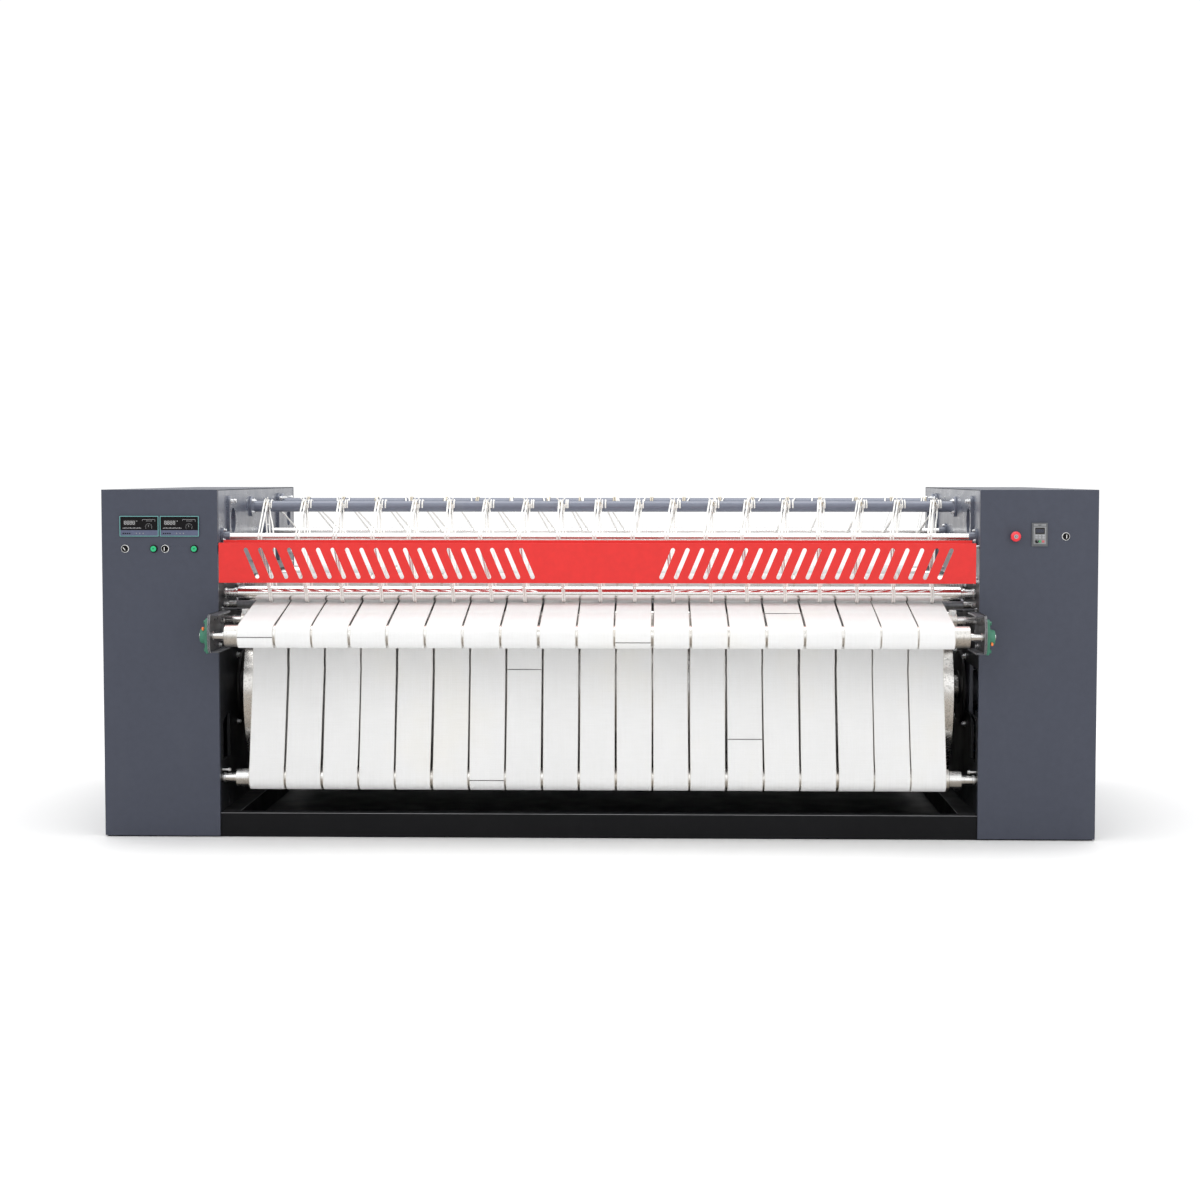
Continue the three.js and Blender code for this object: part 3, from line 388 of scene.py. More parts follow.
# ------------------------------------------------------------------ mesh building
class Build:
    """Collects several solids, each with its own material, into one piece. Millimetres."""

    def __init__(self):
        self.v, self.f, self.m, self.uv, self.mats = [], [], [], [], []

    def _mat(self, key):
        if key not in self.mats:
            self.mats.append(key)
        return self.mats.index(key)

    def add(self, verts, faces, key, uvs=None):
        base, k = len(self.v), self._mat(key)
        self.v.extend(verts)
        for i, f in enumerate(faces):
            self.f.append([base + j for j in f])
            self.m.append(k)
            self.uv.append(uvs[i] if uvs else [(0.0, 0.0)] * len(f))
        return self

    def turned(self, origin, axis, profile, key, segs=48, phase=0.0, soft=0.0):
        """profile: [t, r] pairs along axis from origin, from one end to the other."""
        pts = fillet(profile, soft) if soft else profile
        a = Vector(axis).normalized()
        ref = Vector((0, 0, 1)) if abs(a.z) < 0.9 else Vector((0, 1, 0))
        e1 = a.cross(ref).normalized()
        e2 = a.cross(e1).normalized()
        o = Vector(origin)
        verts, faces, uvs, rings, length = [], [], [], [], 0.0
        for i, (t, r) in enumerate(pts):
            if i:
                length += math.hypot(t - pts[i - 1][0], r - pts[i - 1][1])
            if r < 1e-6:
                rings.append((len(verts), 1, length))
                verts.append(tuple(o + a * t))
            else:
                rings.append((len(verts), segs, length))
                for j in range(segs):
                    w = phase + 2 * math.pi * j / segs
                    verts.append(tuple(o + a * t + (e1 * math.cos(w) + e2 * math.sin(w)) * r))
        for (s0, n0, l0), (s1, n1, l1) in zip(rings, rings[1:]):
            for j in range(segs):
                k = (j + 1) % segs
                u0, u1 = j / segs, (j + 1) / segs
                if n0 == 1 and n1 == 1:
                    continue
                if n0 == 1:
                    faces.append([s0, s1 + k, s1 + j])
                    uvs.append([(u0, l0 / 1000), (u1, l1 / 1000), (u0, l1 / 1000)])
                elif n1 == 1:
                    faces.append([s0 + j, s0 + k, s1])
                    uvs.append([(u0, l0 / 1000), (u1, l0 / 1000), (u0, l1 / 1000)])
                else:
                    faces.append([s0 + j, s0 + k, s1 + k, s1 + j])
                    uvs.append([(u0, l0 / 1000), (u1, l0 / 1000), (u1, l1 / 1000), (u0, l1 / 1000)])
        return self.add(verts, faces, key, uvs)

    def ring(self, origin, axis, profile, key, segs=48):
        """A closed profile turned about the axis, such as a collar with a bore."""
        return self.turned_loop(origin, axis, profile, key, segs)

    def turned_loop(self, origin, axis, profile, key, segs=48):
        a = Vector(axis).normalized()
        ref = Vector((0, 0, 1)) if abs(a.z) < 0.9 else Vector((0, 1, 0))
        e1 = a.cross(ref).normalized()
        e2 = a.cross(e1).normalized()
        o = Vector(origin)
        n = len(profile)
        verts, faces = [], []
        for t, r in profile:
            for j in range(segs):
                w = 2 * math.pi * j / segs
                verts.append(tuple(o + a * t + (e1 * math.cos(w) + e2 * math.sin(w)) * r))
        for i in range(n):
            i2 = (i + 1) % n
            for j in range(segs):
                k = (j + 1) % segs
                faces.append([i * segs + j, i * segs + k, i2 * segs + k, i2 * segs + j])
        return self.add(verts, faces, key)

    def box(self, x0, x1, y0, y1, z0, z1, key):
        v = [(x, y, z) for x in (x0, x1) for y in (y0, y1) for z in (z0, z1)]
        f = [[0, 1, 3, 2], [4, 6, 7, 5], [0, 4, 5, 1], [2, 3, 7, 6], [0, 2, 6, 4], [1, 5, 7, 3]]
        return self.add(v, f, key)

    def plate(self, outline, holes, axis, a, b, key):
        """A flat plate with holes. outline and holes are (u, v) lists: (y, z), (x, z) or (x, y)."""
        loops = [[Vector((p[0], p[1], 0)) for p in loop] for loop in [outline, *holes]]
        tris = tessellate_polygon(loops)
        flat = [p for loop in loops for p in loop]
        put = {"x": lambda p, t: (t, p.x, p.y), "y": lambda p, t: (p.x, t, p.y), "z": lambda p, t: (p.x, p.y, t)}[axis]
        n = len(flat)
        verts = [put(p, a) for p in flat] + [put(p, b) for p in flat]
        faces = [list(t) for t in tris] + [[n + t[2], n + t[1], n + t[0]] for t in tris]
        start = 0
        for loop in loops:
            c = len(loop)
            for i in range(c):
                j = (i + 1) % c
                faces.append([start + i, start + j, n + start + j, n + start + i])
            start += c
        return self.add(verts, faces, key)

    def tube(self, path, r, key, segs=10, closed=False, flat=1.0, v0=0.0):
        """A round cord along a list of points, with u round it and v along it."""
        pts = [Vector(p) for p in path]
        n = len(pts)
        tang = []
        for i in range(n):
            a = pts[(i - 1) % n] if (closed or i > 0) else pts[i]
            b = pts[(i + 1) % n] if (closed or i < n - 1) else pts[i]
            t = b - a
            tang.append(t.normalized() if t.length > 1e-9 else Vector((1, 0, 0)))
        ref = Vector((1, 0, 0)) if abs(tang[0].x) < 0.8 else Vector((0, 0, 1))
        nrm = (ref - tang[0] * ref.dot(tang[0])).normalized()
        verts, faces, uvs, run, runs = [], [], [], v0, []
        for i in range(n):
            if i:
                nrm = nrm - tang[i] * nrm.dot(tang[i])
                nrm = nrm.normalized() if nrm.length > 1e-6 else Vector((0, 0, 1))
                run += (pts[i] - pts[i - 1]).length
            runs.append(run)
            bi = tang[i].cross(nrm)
            for j in range(segs):
                w = 2 * math.pi * j / segs
                verts.append(tuple(pts[i] + (nrm * math.cos(w) + bi * math.sin(w) * flat) * r))
        for i in range(n if closed else n - 1):
            i2 = (i + 1) % n
            la, lb = runs[i] / 1000, (runs[i2] if i2 else runs[i] + 2) / 1000
            for j in range(segs):
                k = (j + 1) % segs
                faces.append([i * segs + j, i * segs + k, i2 * segs + k, i2 * segs + j])
                uvs.append([(j / segs, la), ((j + 1) / segs, la), ((j + 1) / segs, lb), (j / segs, lb)])
        if not closed:
            for i, rev in ((0, True), (n - 1, False)):
                c = len(verts)
                verts.append(tuple(pts[i] + tang[i] * (r * (0.5 if not rev else -0.5))))
                for j in range(segs):
                    k = (j + 1) % segs
                    faces.append([c, i * segs + k, i * segs + j] if rev else [c, i * segs + j, i * segs + k])
                    uvs.append([(0, runs[i] / 1000)] * 3)
        return self.add(verts, faces, key, uvs)

    def bolt(self, at, axis, af=17.0, head=9.0, key="zinc", washer=True, stud=0.0):
        """Hexagon head with chamfered corners, washer and optional thread end."""
        w = 2.0 if washer else 0.0
        if washer:
            self.turned(at, axis, [(0, 0), (0, af * 0.72), (w, af * 0.72), (w, 0)], key, 20, soft=0.4)
        r = af / math.sqrt(3)
        self.turned(at, axis, [(w, 0), (w, r), (w + head - 1.2, r), (w + head, r * 0.84), (w + head, 0)], key, 6,
                    rnd.uniform(0, 1))
        if stud:
            self.turned(at, axis, [(w + head - 0.5, 0), (w + head - 0.5, af * 0.3), (w + head + stud - 1, af * 0.3),
                                   (w + head + stud, af * 0.22), (w + head + stud, 0)], key, 12)
        return self

    def make(self, name, body, replaces=(), slot=None, bevel=0.0, angle=32.0, segs=2, bevel_angle=40.0):
        me = bpy.data.meshes.new(name)
        me.from_pydata([P(*p) for p in self.v], [], self.f)
        for k in self.mats:
            me.materials.append(M[k])
        me.polygons.foreach_set("material_index", self.m)
        layer = me.uv_layers.new(name="UVMap")
        flat = [c for f in self.uv for p in f for c in p]
        layer.data.foreach_set("uv", flat)
        me.polygons.foreach_set("use_smooth", [True] * len(me.polygons))
        me.validate(clean_customdata=False)
        me.update()
        import bmesh
        bm = bmesh.new()
        bm.from_mesh(me)
        bmesh.ops.recalc_face_normals(bm, faces=bm.faces[:])
        bm.to_mesh(me)
        bm.free()
        me.set_sharp_from_angle(angle=math.radians(angle))
        o = bpy.data.objects.new(name, me)
        bpy.context.scene.collection.objects.link(o)
        if bevel:
            mod = o.modifiers.new("edges", "BEVEL")
            mod.width = bevel / 1000.0
            mod.segments = segs
            mod.limit_method = "ANGLE"
            mod.angle_limit = math.radians(bevel_angle)
            mod.use_clamp_overlap = True
        if name.split("_")[0] not in ("ironing", "guide"):
            mod = o.modifiers.new("normals", "WEIGHTED_NORMAL")
            mod.keep_sharp = True
            mod.weight = 80
        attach(o, body)
        if replaces:
            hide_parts(*([replaces] if isinstance(replaces, str) else replaces))
        return o


def fillet(profile, r):
    """Rounds the corners of an open profile of (t, r) points."""
    out = [profile[0]]
    for a, b, c in zip(profile, profile[1:], profile[2:]):
        p, q, s = Vector(a), Vector(b), Vector(c)
        d1, d2 = (p - q), (s - q)
        k = min(r, d1.length * 0.45, d2.length * 0.45)
        if b[1] < 1e-6 or k < 0.02 or d1.length < 1e-6 or d2.length < 1e-6:
            out.append(b)
            continue
        a1, a2 = q + d1.normalized() * k, q + d2.normalized() * k
        for i in range(4):
            t = i / 3
            pt = a1 * (1 - t) ** 2 + q * 2 * t * (1 - t) + a2 * t * t
            out.append((pt.x, pt.y))
    out.append(profile[-1])
    return out


def circle(u, v, r, n=40, a0=0.0):
    return [(u + r * math.cos(a0 + 2 * math.pi * i / n), v + r * math.sin(a0 + 2 * math.pi * i / n)) for i in range(n)]


def rect(u0, u1, v0, v1):
    return [(u0, v0), (u1, v0), (u1, v1), (u0, v1)]


def round_poly(points, r, n=5):
    """Rounds the corners of a closed outline."""
    out, c = [], len(points)
    for i in range(c):
        a, b, d = Vector(points[i - 1]), Vector(points[i]), Vector(points[(i + 1) % c])
        k = min(r, (a - b).length * 0.45, (d - b).length * 0.45)
        p, q = b + (a - b).normalized() * k, b + (d - b).normalized() * k
        for j in range(n):
            t = j / (n - 1)
            pt = p * (1 - t) ** 2 + b * 2 * t * (1 - t) + q * t * t
            out.append((pt.x, pt.y))
    return out


SIDES = (("left", -1), ("right", 1))


# ------------------------------------------------------------------ cabinets
for side, s in SIDES:
    x_in, x_out = s * INNER, s * HALF
    lo, hi = min(x_in, x_out), max(x_in, x_out)
    # front cover: one folded sheet with returns, cut-outs for the controls
    b = Build()
    holes = []
    if s < 0:
        for a, c in CONTROLLERS:
            holes.append(rect(a + 4, c - 4, CTRL_Z[0] + 3.5, CTRL_Z[1] - 3.5))
        for x in SELECT_L + GREEN_L:
            holes.append(circle(x, ROW_L, 11.2, 24))
    else:
        holes += [rect(KEYPAD[0] + 3, KEYPAD[1] - 3, KEYPAD[2] + 3, KEYPAD[3] - 3), circle(*ESTOP, 11.2, 24), circle(*SELECT_R, 11.2, 24)]
    b.plate(rect(lo, hi, 4, HEIGHT), holes, "y", 0, 2, "cabinet")
    b.make(f"front_cover_{side}", "machine", f"{side}_front_cover", "cabinet", bevel=1.1, segs=3)
    r = Build()
    r.plate(rect(0.9, 24, 4, HEIGHT - 1), [], "x", s * INNER + s * 0.02, s * (INNER + 2), "cabinet")
    r.plate(rect(0.9, 24, 4, HEIGHT - 1), [], "x", s * (HALF - 2), s * (HALF - 0.02), "cabinet")
    r.plate(rect(lo + 0.5, hi - 0.5, 0.9, 24), [], "z", HEIGHT - 2, HEIGHT - 0.02, "cabinet")
    r.plate(rect(lo + 4, hi - 4, 1.5, 22), [], "z", 6, 8, "cabinet")
    r.make(f"front_cover_returns_{side}", "machine", (), "cabinet", bevel=0.5)
    # rear cover with pressed vents and two locks
    b = Build()
    vents = [round_poly(rect(lo + 90, hi - 90, 1120 + 34 * i, 1131 + 34 * i), 5.4, 6) for i in range(7)]
    b.plate(rect(lo, hi, 4, HEIGHT), vents, "y", DEPTH - 2, DEPTH, "cabinet")
    for i in range(7):
        b.plate(rect(lo + 92, hi - 92, DEPTH - 14, DEPTH - 2), [], "z", 1131 + 34 * i, 1132.5 + 34 * i, "cabinet")
    for z in (300, 1000):
        b.turned(((lo + hi) / 2 + s * 190, DEPTH, z), (0, 1, 0), [(-1, 0), (-1, 13), (0, 13), (0, 0)], "zinc", 32, soft=0.4)
    b.make(f"rear_cover_panel_{side}", "machine", f"{side}_rear_cover", "cabinet", bevel=0.8)
    r = Build()
    for xa, xb in ((s * INNER + s * 0.02, s * (INNER + 2)), (s * (HALF - 2), s * (HALF - 0.02))):
        r.plate(rect(DEPTH - 24, DEPTH - 0.9, 4, HEIGHT - 1), [], "x", xa, xb, "cabinet")
    r.plate(rect(lo + 0.5, hi - 0.5, DEPTH - 24, DEPTH - 0.9), [], "z", HEIGHT - 2, HEIGHT - 0.02, "cabinet")
    r.make(f"rear_cover_returns_{side}", "machine", (), "cabinet", bevel=0.5)
    # end cover: tray with six vents, two grips and four quarter-turn locks
    b = Build()
    vents = [round_poly(rect(700, 1180, 1180 + 26 * i, 1190 + 26 * i), 4.9, 6) for i in range(6)]
    grips = [round_poly(rect(y - 62, y + 62, 700, 736), 16, 7) for y in (330, 1550)]
    b.plate(rect(26, 1854, 4, 1444), vents + grips, "x", s * (HALF - 2), s * HALF, "cabinet")
    for i in range(6):
        b.plate(rect(702, 1178, 1190 + 26 * i, 1191.5 + 26 * i), [], "x", s * (HALF - 13), s * (HALF - 1.5), "cabinet")
    for y in (330, 1550):
        b.plate(round_poly(rect(y - 64, y + 64, 698, 738), 17, 7), [], "x", s * (HALF - 26), s * (HALF - 24.5), "frame")
        for z0, z1 in ((697, 700), (736, 739)):
            b.plate(rect(y - 62, y + 62, z0, z1), [], "x", s * (HALF - 25), s * (HALF - 1.5), "frame")
    b.plate(rect(26, 28, 104, 1444), [], "x", s * (HALF - 22), s * (HALF - 1.9), "cabinet")
    b.plate(rect(1852, 1854, 104, 1444), [], "x", s * (HALF - 22), s * (HALF - 1.9), "cabinet")
    for y in (90, 1790):
        for z in (180, 1330):
            b.turned((s * HALF, y, z), (s, 0, 0), [(-1.2, 0), (-1.2, 12), (-0.1, 12), (-0.1, 0)], "zinc", 32, soft=0.3)
            # a black triangle on each lock stands for its key socket: painted shade in the recess
            b.turned((s * HALF, y, z), (s, 0, 0), [(-1.2, 0), (-1.2, 4.5), (0, 4.5), (0, 0)], "black", 3)
    b.make(f"end_cover_panel_{side}", "machine", f"{side}_end_cover", "cabinet", bevel=0.8)
    # top cover: a low tray, its screws countersunk along both edges
    b = Build()
    b.plate(rect(lo, hi, 26, 1854), [], "z", HEIGHT - 2, HEIGHT, "cabinet")
    b.plate(rect(26, 1854, HEIGHT - 22, HEIGHT - 1.9), [], "x", s * (INNER + 4), s * (INNER + 6), "cabinet")
    b.plate(rect(26, 1854, HEIGHT - 22, HEIGHT - 1.9), [], "x", s * (HALF - 26), s * (HALF - 24), "cabinet")
    for y in (120, 680, 1240, 1780):
        for x in (s * (INNER + 22), s * (HALF - 22)):
            b.turned((x, y, HEIGHT), (0, 0, 1), [(-1.5, 0), (-1.5, 6), (-0.15, 6), (-0.15, 0)], "zinc", 20, soft=0.3)
            # a black hexagon on each head stands for the hex socket: painted shade in the recess
            b.turned((x, y, HEIGHT), (0, 0, 1), [(-1.6, 0), (-1.6, 2.4), (-0.05, 2.4), (-0.05, 0)], "black", 6)
    b.make(f"top_cover_panel_{side}", "machine", f"{side}_top_cover", "cabinet", bevel=0.9, segs=3)

    # upper inner panel and its two lug plates
    b = Build()
    b.plate(rect(26, 1854, 1061, 1444), [circle(*AX["guard"], 7.2, 20)], "x", s * INNER, s * (INNER + 3), "inner")
    for y0, y1, hy in ((202, 760, 278), (1400, 1760, 1660)):
        out = round_poly([(y0, 1100), (y1, 1100), (y1, 1402), (y1 - 18, 1421), (y0 + 18, 1421), (y0, 1402)], 8)
        b.plate(out, [circle(hy, 1315, 53.5, 56)], "x", s * (INNER - 12), s * (INNER - 0.05), "inner")
    for y, z in ((232, 1397), (300, 1397), (232, 1130), (720, 1130), (720, 1397), (480, 1130), (1430, 1130), (1730, 1130),
                 (1430, 1397), (1730, 1397)):
        b.bolt((s * (INNER - 12), y, z), (-s, 0, 0), 15, 8)
    for y in (80, 900, 1180, 1810):
        b.bolt((s * INNER, y, 1080), (-s, 0, 0), 10, 5)
    b.make(f"inner_panel_with_lugs_{side}", "machine", f"inner_panel_{side}", "cabinet", bevel=0.8)

    # lower frame plate with cut-outs, roller flanges and bolts
    b = Build()
    cut = [circle(*AX["drum1"], 79, 48) if s < 0 else
           [(18 + 9, 501), *circle(540, 585, 84, 48)[37:], *circle(540, 585, 84, 48)[:12], (18 + 9, 669)],
           circle(*AX["drum2"], 79, 48),
           round_poly([(80, 312), (222, 312), (222, 500), (150, 500), (80, 470)], 6),
           round_poly([(1660, 312), (1800, 312), (1800, 470), (1730, 500), (1660, 500)], 6),
           round_poly(rect(820, 1130, 420, 760), 10)]
    for k, hr in (("press", 17), ("turn1", 17), ("turn2", 17), ("exit1", 22), ("exit2", 22), ("rearTop", 22),
                  ("rearLow", 22), ("idler", 17), ("frontLow", 22), ("snub", 17)):
        cut.append(circle(*AX[k], hr, 28))
    if s < 0:
        cut.append([(187 + 15 * u / 24, 138 + 1.0 * v) for u, v in circle(0, 0, 24, 28)])
        b.plate(rect(26, 1854, 102, 1060), cut, "x", s * INNER, s * (INNER + 12), "frame")
    else:
        slot_cut = cut.pop(0)
        # the drive side is open to the front at the drum journal
        arc = [p for p in circle(540, 585, 84, 64)]
        top = sorted([p for p in arc if p[0] >= 540], key=lambda p: -math.atan2(p[1] - 585, p[0] - 540))
        outline = [(26, 102), (1854, 102), (1854, 1060), (26, 1060), (26, 708), (470, 708), (540, 669)] + top[1:-1] + [(540, 501), (470, 494), (26, 494)]
        b.plate(outline, cut, "x", s * INNER, s * (INNER + 12), "frame")
    for k, rr in (("press", 36), ("turn1", 34), ("turn2", 34), ("exit1", 42), ("exit2", 42), ("rearTop", 42),
                  ("rearLow", 42), ("idler", 34), ("frontLow", 42), ("snub", 34)):
        y, z = AX[k]
        hole = 17 if k in ("press", "turn1", "turn2", "idler", "snub") else 22
        # the two-bolt flange of each roller bearing sits outside the plate; its bolts come through
        if k in ("frontLow", "snub"):
            # close to the front edge, so this flange stands upright
            out = round_poly([(y - rr + 13, z), (y, z + rr + 18), (y + rr - 8, z), (y, z - rr - 18)], 16, 6)
        else:
            out = round_poly([(y - rr - 26, z), (y, z + rr), (y + rr + 26, z), (y, z - rr)], 22, 6)
        b.plate(out, [circle(y, z, hole + 1, 28)], "x", s * (INNER + 12.2), s * (INNER + 24), "grey_iron")
        if k not in ("press", "snub", "frontLow"):
            for d in (-1, 1):
                b.bolt((s * INNER, y + d * (rr + 9), z), (-s, 0, 0), 14, 7)
        else:
            if k == "frontLow":
                b.turned((s * INNER, y, z + 33), (-s, 0, 0), [(0, 0), (0, 5), (26, 5), (26, 0)], "zinc", 16)
                b.bolt((s * (INNER - 26), y, z + 33), (-s, 0, 0), 13, 8)
            else:
                for d in (-1, 1):
                    b.bolt((s * INNER, y + (4 if d > 0 else 2), z + d * (rr + 10)), (-s, 0, 0), 12, 6)
    for y, z in ((700, 130), (1250, 130), (1800, 130)):
        b.bolt((s * INNER, y, z), (-s, 0, 0), 15, 8)
    b.make(f"side_frame_plate_{side}", "machine", f"frame_plate_{side}", "frame", bevel=0.8)

# ------------------------------------------------------------------ base frame (the CAD shape is right)
for nm in ("base_front_beam", "base_rear_beam", "base_side_left", "base_side_right", "dust_tray"):
    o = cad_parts[nm]
    o.material_slots[0].material = M["frame" if nm == "dust_tray" else "beam"]
    weld = o.modifiers.new("join", "WELD")
    weld.merge_threshold = 0.00005
    edge = o.modifiers.new("edges", "BEVEL")
    edge.width, edge.segments, edge.limit_method = 0.0016, 2, "ANGLE"
for nm, key in (("drive_chain", "chain"), ("gearmotor", "motor"), ("drive_sprocket", "journal"),
                ("left_switch_bank", "black"), ("right_switch_bank", "black")):
    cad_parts[nm].material_slots[0].material = M[key]


# ------------------------------------------------------------------ rollers
def roller(name, key, body, node_name, r, half, parts, mat_key="roller", shaft_key="shaft", segs=72, worn=None):
    """A tube with turned ends. parts: (length, radius) steps outwards from the tube's end, on both sides."""
    y, z = AX[key]
    b = Build()
    prof = []
    ends = []
    x = half
    for length, rr in parts:
        ends.append((x, rr))
        x += length
        ends.append((x, rr))
    ends.append((x, 0))
    right = [(half - 1.5, r), (half, r - 1.5)] + ends
    left = [(-a, q) for a, q in reversed(right)]
    b.turned((0, y, z), (1, 0, 0), fillet(left[:len(ends)] + [left[len(ends)]], 0.6), shaft_key, segs)
    b.turned((0, y, z), (1, 0, 0), [(-half, parts[0][1] * 0.9), (-half, r - 1.5), (-half + 1.5, r), (half - 1.5, r),
                                    (half, r - 1.5), (half, parts[0][1] * 0.9)], mat_key, segs)
    b.turned((0, y, z), (1, 0, 0), fillet([(half, r - 1.6)] + ends, 0.6), shaft_key, segs)
    return b, y, z


def collar(b, x, y, z, r0, r1, w, key="zinc"):
    b.turned_loop((x, y, z), (1, 0, 0), [(0, r0), (0, r1 - 1), (1, r1), (w - 1, r1), (w, r1 - 1), (w, r0)], key, 40)
    b.turned((x + w / 2, y, z + r1 - 1.5), (0, 0, 1), [(0, 0), (0, 2.2), (1.8, 2.2), (1.8, 0)], "black", 10)


b, y, z = roller("press", "press", "pressing_roller", "press_roller", 31, 1512, [(58, 19.8), (24, 16)], "press_steel")
for s in (-1, 1):
    collar(b, s * 1524 - 5, y, z, 19.7, 24, 10, "shaft")
    collar(b, s * 1566 - 4, y, z, 19.7, 22.5, 8, "shaft")
b.make("press_roller_tube", "pressing_roller", "press_roller", "steel")

b, y, z = roller("turn1", "turn1", "front_turning_roller", "turning_roller_1", 30, 1536, [(38, 14), (18, 14)], "grey_tube")
b.make("turning_roller_front", "front_turning_roller", "turning_roller_1", "steel")
b, y, z = roller("turn2", "turn2", "middle_turning_roller", "turning_roller_2", 30, 1536, [(38, 14), (18, 14)], "grey_tube")
b.make("turning_roller_middle", "middle_turning_roller", "turning_roller_2", "steel")
for k, bd, nn, nm in (("exit1", "front_exit_roller", "exit_roller_1", "exit_roller_front"),
                      ("exit2", "rear_exit_roller", "exit_roller_2", "exit_roller_rear"),
                      ("rearTop", "rear_upper_return_roller", "rear_top_roller", "rear_return_roller_upper"),
                      ("rearLow", "rear_lower_return_roller", "rear_lower_roller", "rear_return_roller_lower")):
    b, y, z = roller(nm, k, bd, nn, 44.5, 1500, [(36, 26), (58, 21)], "worn")
    for s in (-1, 1):
        collar(b, s * 1556 - 6, y, z, 20.9, 30, 12)
    b.make(nm, bd, nn, "steel")
b, y, z = roller("idler", "idler", "middle_return_roller", "return_idler", 30, 1500, [(74, 16), (20, 16)], "worn")
for s in (-1, 1):
    collar(b, s * 1540 - 6, y, z, 15.9, 25, 12)
b.make("return_idler_roller", "middle_return_roller", "return_idler", "steel")
b, y, z = roller("frontLow", "frontLow", "front_return_roller", "front_lower_roller", 44.5, 1460, [(50, 38.5), (14, 20.8), (20, 19.6), (20, 19), (28, 18.6)], "worn")
for s in (-1, 1):
    collar(b, s * 1562 - 5, y, z, 18.9, 21.4, 10)
b.make("front_lower_roller_tube", "front_return_roller", "front_lower_roller", "steel")
b, y, z = roller("snub", "snub", "apron_rear_roller", "snub_roller", 30, 1490, [(36, 18), (44, 16), (24, 15.8)], "worn")
for s in (-1, 1):
    collar(b, s * 1524 - 4, y, z, 15.9, 19.5, 8, "shaft")
b.make("snub_roller_tube", "apron_rear_roller", "snub_roller", "steel")
b, y, z = roller("feed", "feed", "apron_front_roller", "feed_roller", 44.5, 1508, [(54, 16.5), (14, 13.6), (36, 13.4)], "worn")
for s in (-1, 1):
    collar(b, s * 1560 - 5, y, z, 13.3, 18.5, 10, "shaft")
    b.turned((s * 1611.5, y, z), (s, 0, 0), [(-1, 0), (-1, 6), (0.4, 6), (0.4, 0)], "frame", 20)
b.make("feed_roller_tube", "apron_front_roller", "feed_roller", "steel")

# ------------------------------------------------------------------ drums and bearings
for i, body in ((1, "front_drum"), (2, "rear_drum")):
    y, z = AX[f"drum{i}"]
    b = Build()
    d0, d1 = -1504, 1495
    shell = [(d0 + 22, 386), (d0 + 12, 388), (d0 + 6, 392), (d0 + 3, 398.4), (d0 + 6, 400), (d1 - 6, 400), (d1 - 3, 398.4),
             (d1 - 6, 392), (d1 - 12, 388), (d1 - 22, 386)]
    b.turned((0, y, z), (1, 0, 0), shell, "drum", 144)
    for s in (-1, 1):
        # end plate with a weld bead, hub and journal
        e = -d0 if s < 0 else d1
        b.turned((0, y, z), (s, 0, 0), [(e - 22, 387), (e - 18, 386.5), (e - 16, 384), (e - 18, 381), (e - 21, 379), (e - 21, 120),
                                        (e - 19, 112), (e - 13, 108), (e - 6, 100), (e - 5, 60), (e - 3, 54), (e, 52)],
                 "journal", 96)
        tip = 1700 if s > 0 else 1660
        b.turned((0, y, z), (s, 0, 0), [(e - 4, 53), (e, 51.8), (1572, 51.8)], "drum", 64)
        b.turned((0, y, z), (s, 0, 0), [(1571, 51.8), (tip - 2, 51.8), (tip, 50), (tip, 30), (tip - 30, 30), (tip - 30, 0)],
                 "journal", 64)
        for a in range(8):
            w = 2 * math.pi * (a + 0.5) / 8
            b.bolt((s * (e - 21), y + 250 * math.cos(w), z + 250 * math.sin(w)), (s, 0, 0), 17, 8)
    teeth = []
    for a in range(54):
        for f, rr in ((0.0, 163.5), (0.3, 163.5), (0.46, 171.0), (0.62, 171.0), (0.78, 163.5)):
            w = 2 * math.pi * (a + f) / 54
            teeth.append((y + rr * math.cos(w), z + rr * math.sin(w)))
    windows = [circle(y + 112 * math.cos(math.pi * a / 3), z + 112 * math.sin(math.pi * a / 3), 24, 28) for a in range(6)]
    b.plate(teeth, windows + [circle(y, z, 51, 40)], "x", 1668, 1684, "journal")
    b.turned_loop((0, y, z), (1, 0, 0), [(1658, 51), (1658, 76), (1660, 78), (1692, 78), (1694, 76), (1694, 51)], "journal", 56)
    b.make(f"drum_shell_{i}", body, f"drum_{i}", "drum")
    for side, s in SIDES:
        b = Build()
        # housing outside the frame plate, black seal disc inside it
        b.turned_loop((0, y, z), (s, 0, 0), [(1577, 53), (1577, 74), (1580, 77), (1640, 77), (1646, 72), (1646, 53)],
                      "grey_iron", 64)
        out = round_poly([(y - 178, z - 178), (y + 178, z - 178), (y + 178, z + 178), (y - 178, z + 178)], 44, 7)
        xa, xb = s * 1586.6, s * 1602
        b.plate(out, [circle(y, z, 76, 48)], "x", min(xa, xb), max(xa, xb), "grey_iron")
        b.turned_loop((0, y, z), (s, 0, 0), [(1561, 55), (1561, 158), (1563, 161), (1573.6, 161), (1573.6, 55)], "dark_iron", 96)
        b.turned_loop((0, y, z), (s, 0, 0), [(1556, 54), (1556, 70), (1562, 72), (1562, 54)], "dark_iron", 64)
        for dy in (-145, 145):
            for dz in (-145, 145):
                b.bolt((s * INNER, y + dy, z + dz), (-s, 0, 0), 19, 11, stud=4)
        b.make(f"drum_bearing_unit_{i}_{side}", "machine", f"drum_{i}_bearing_{side}", "iron", bevel=0.7)

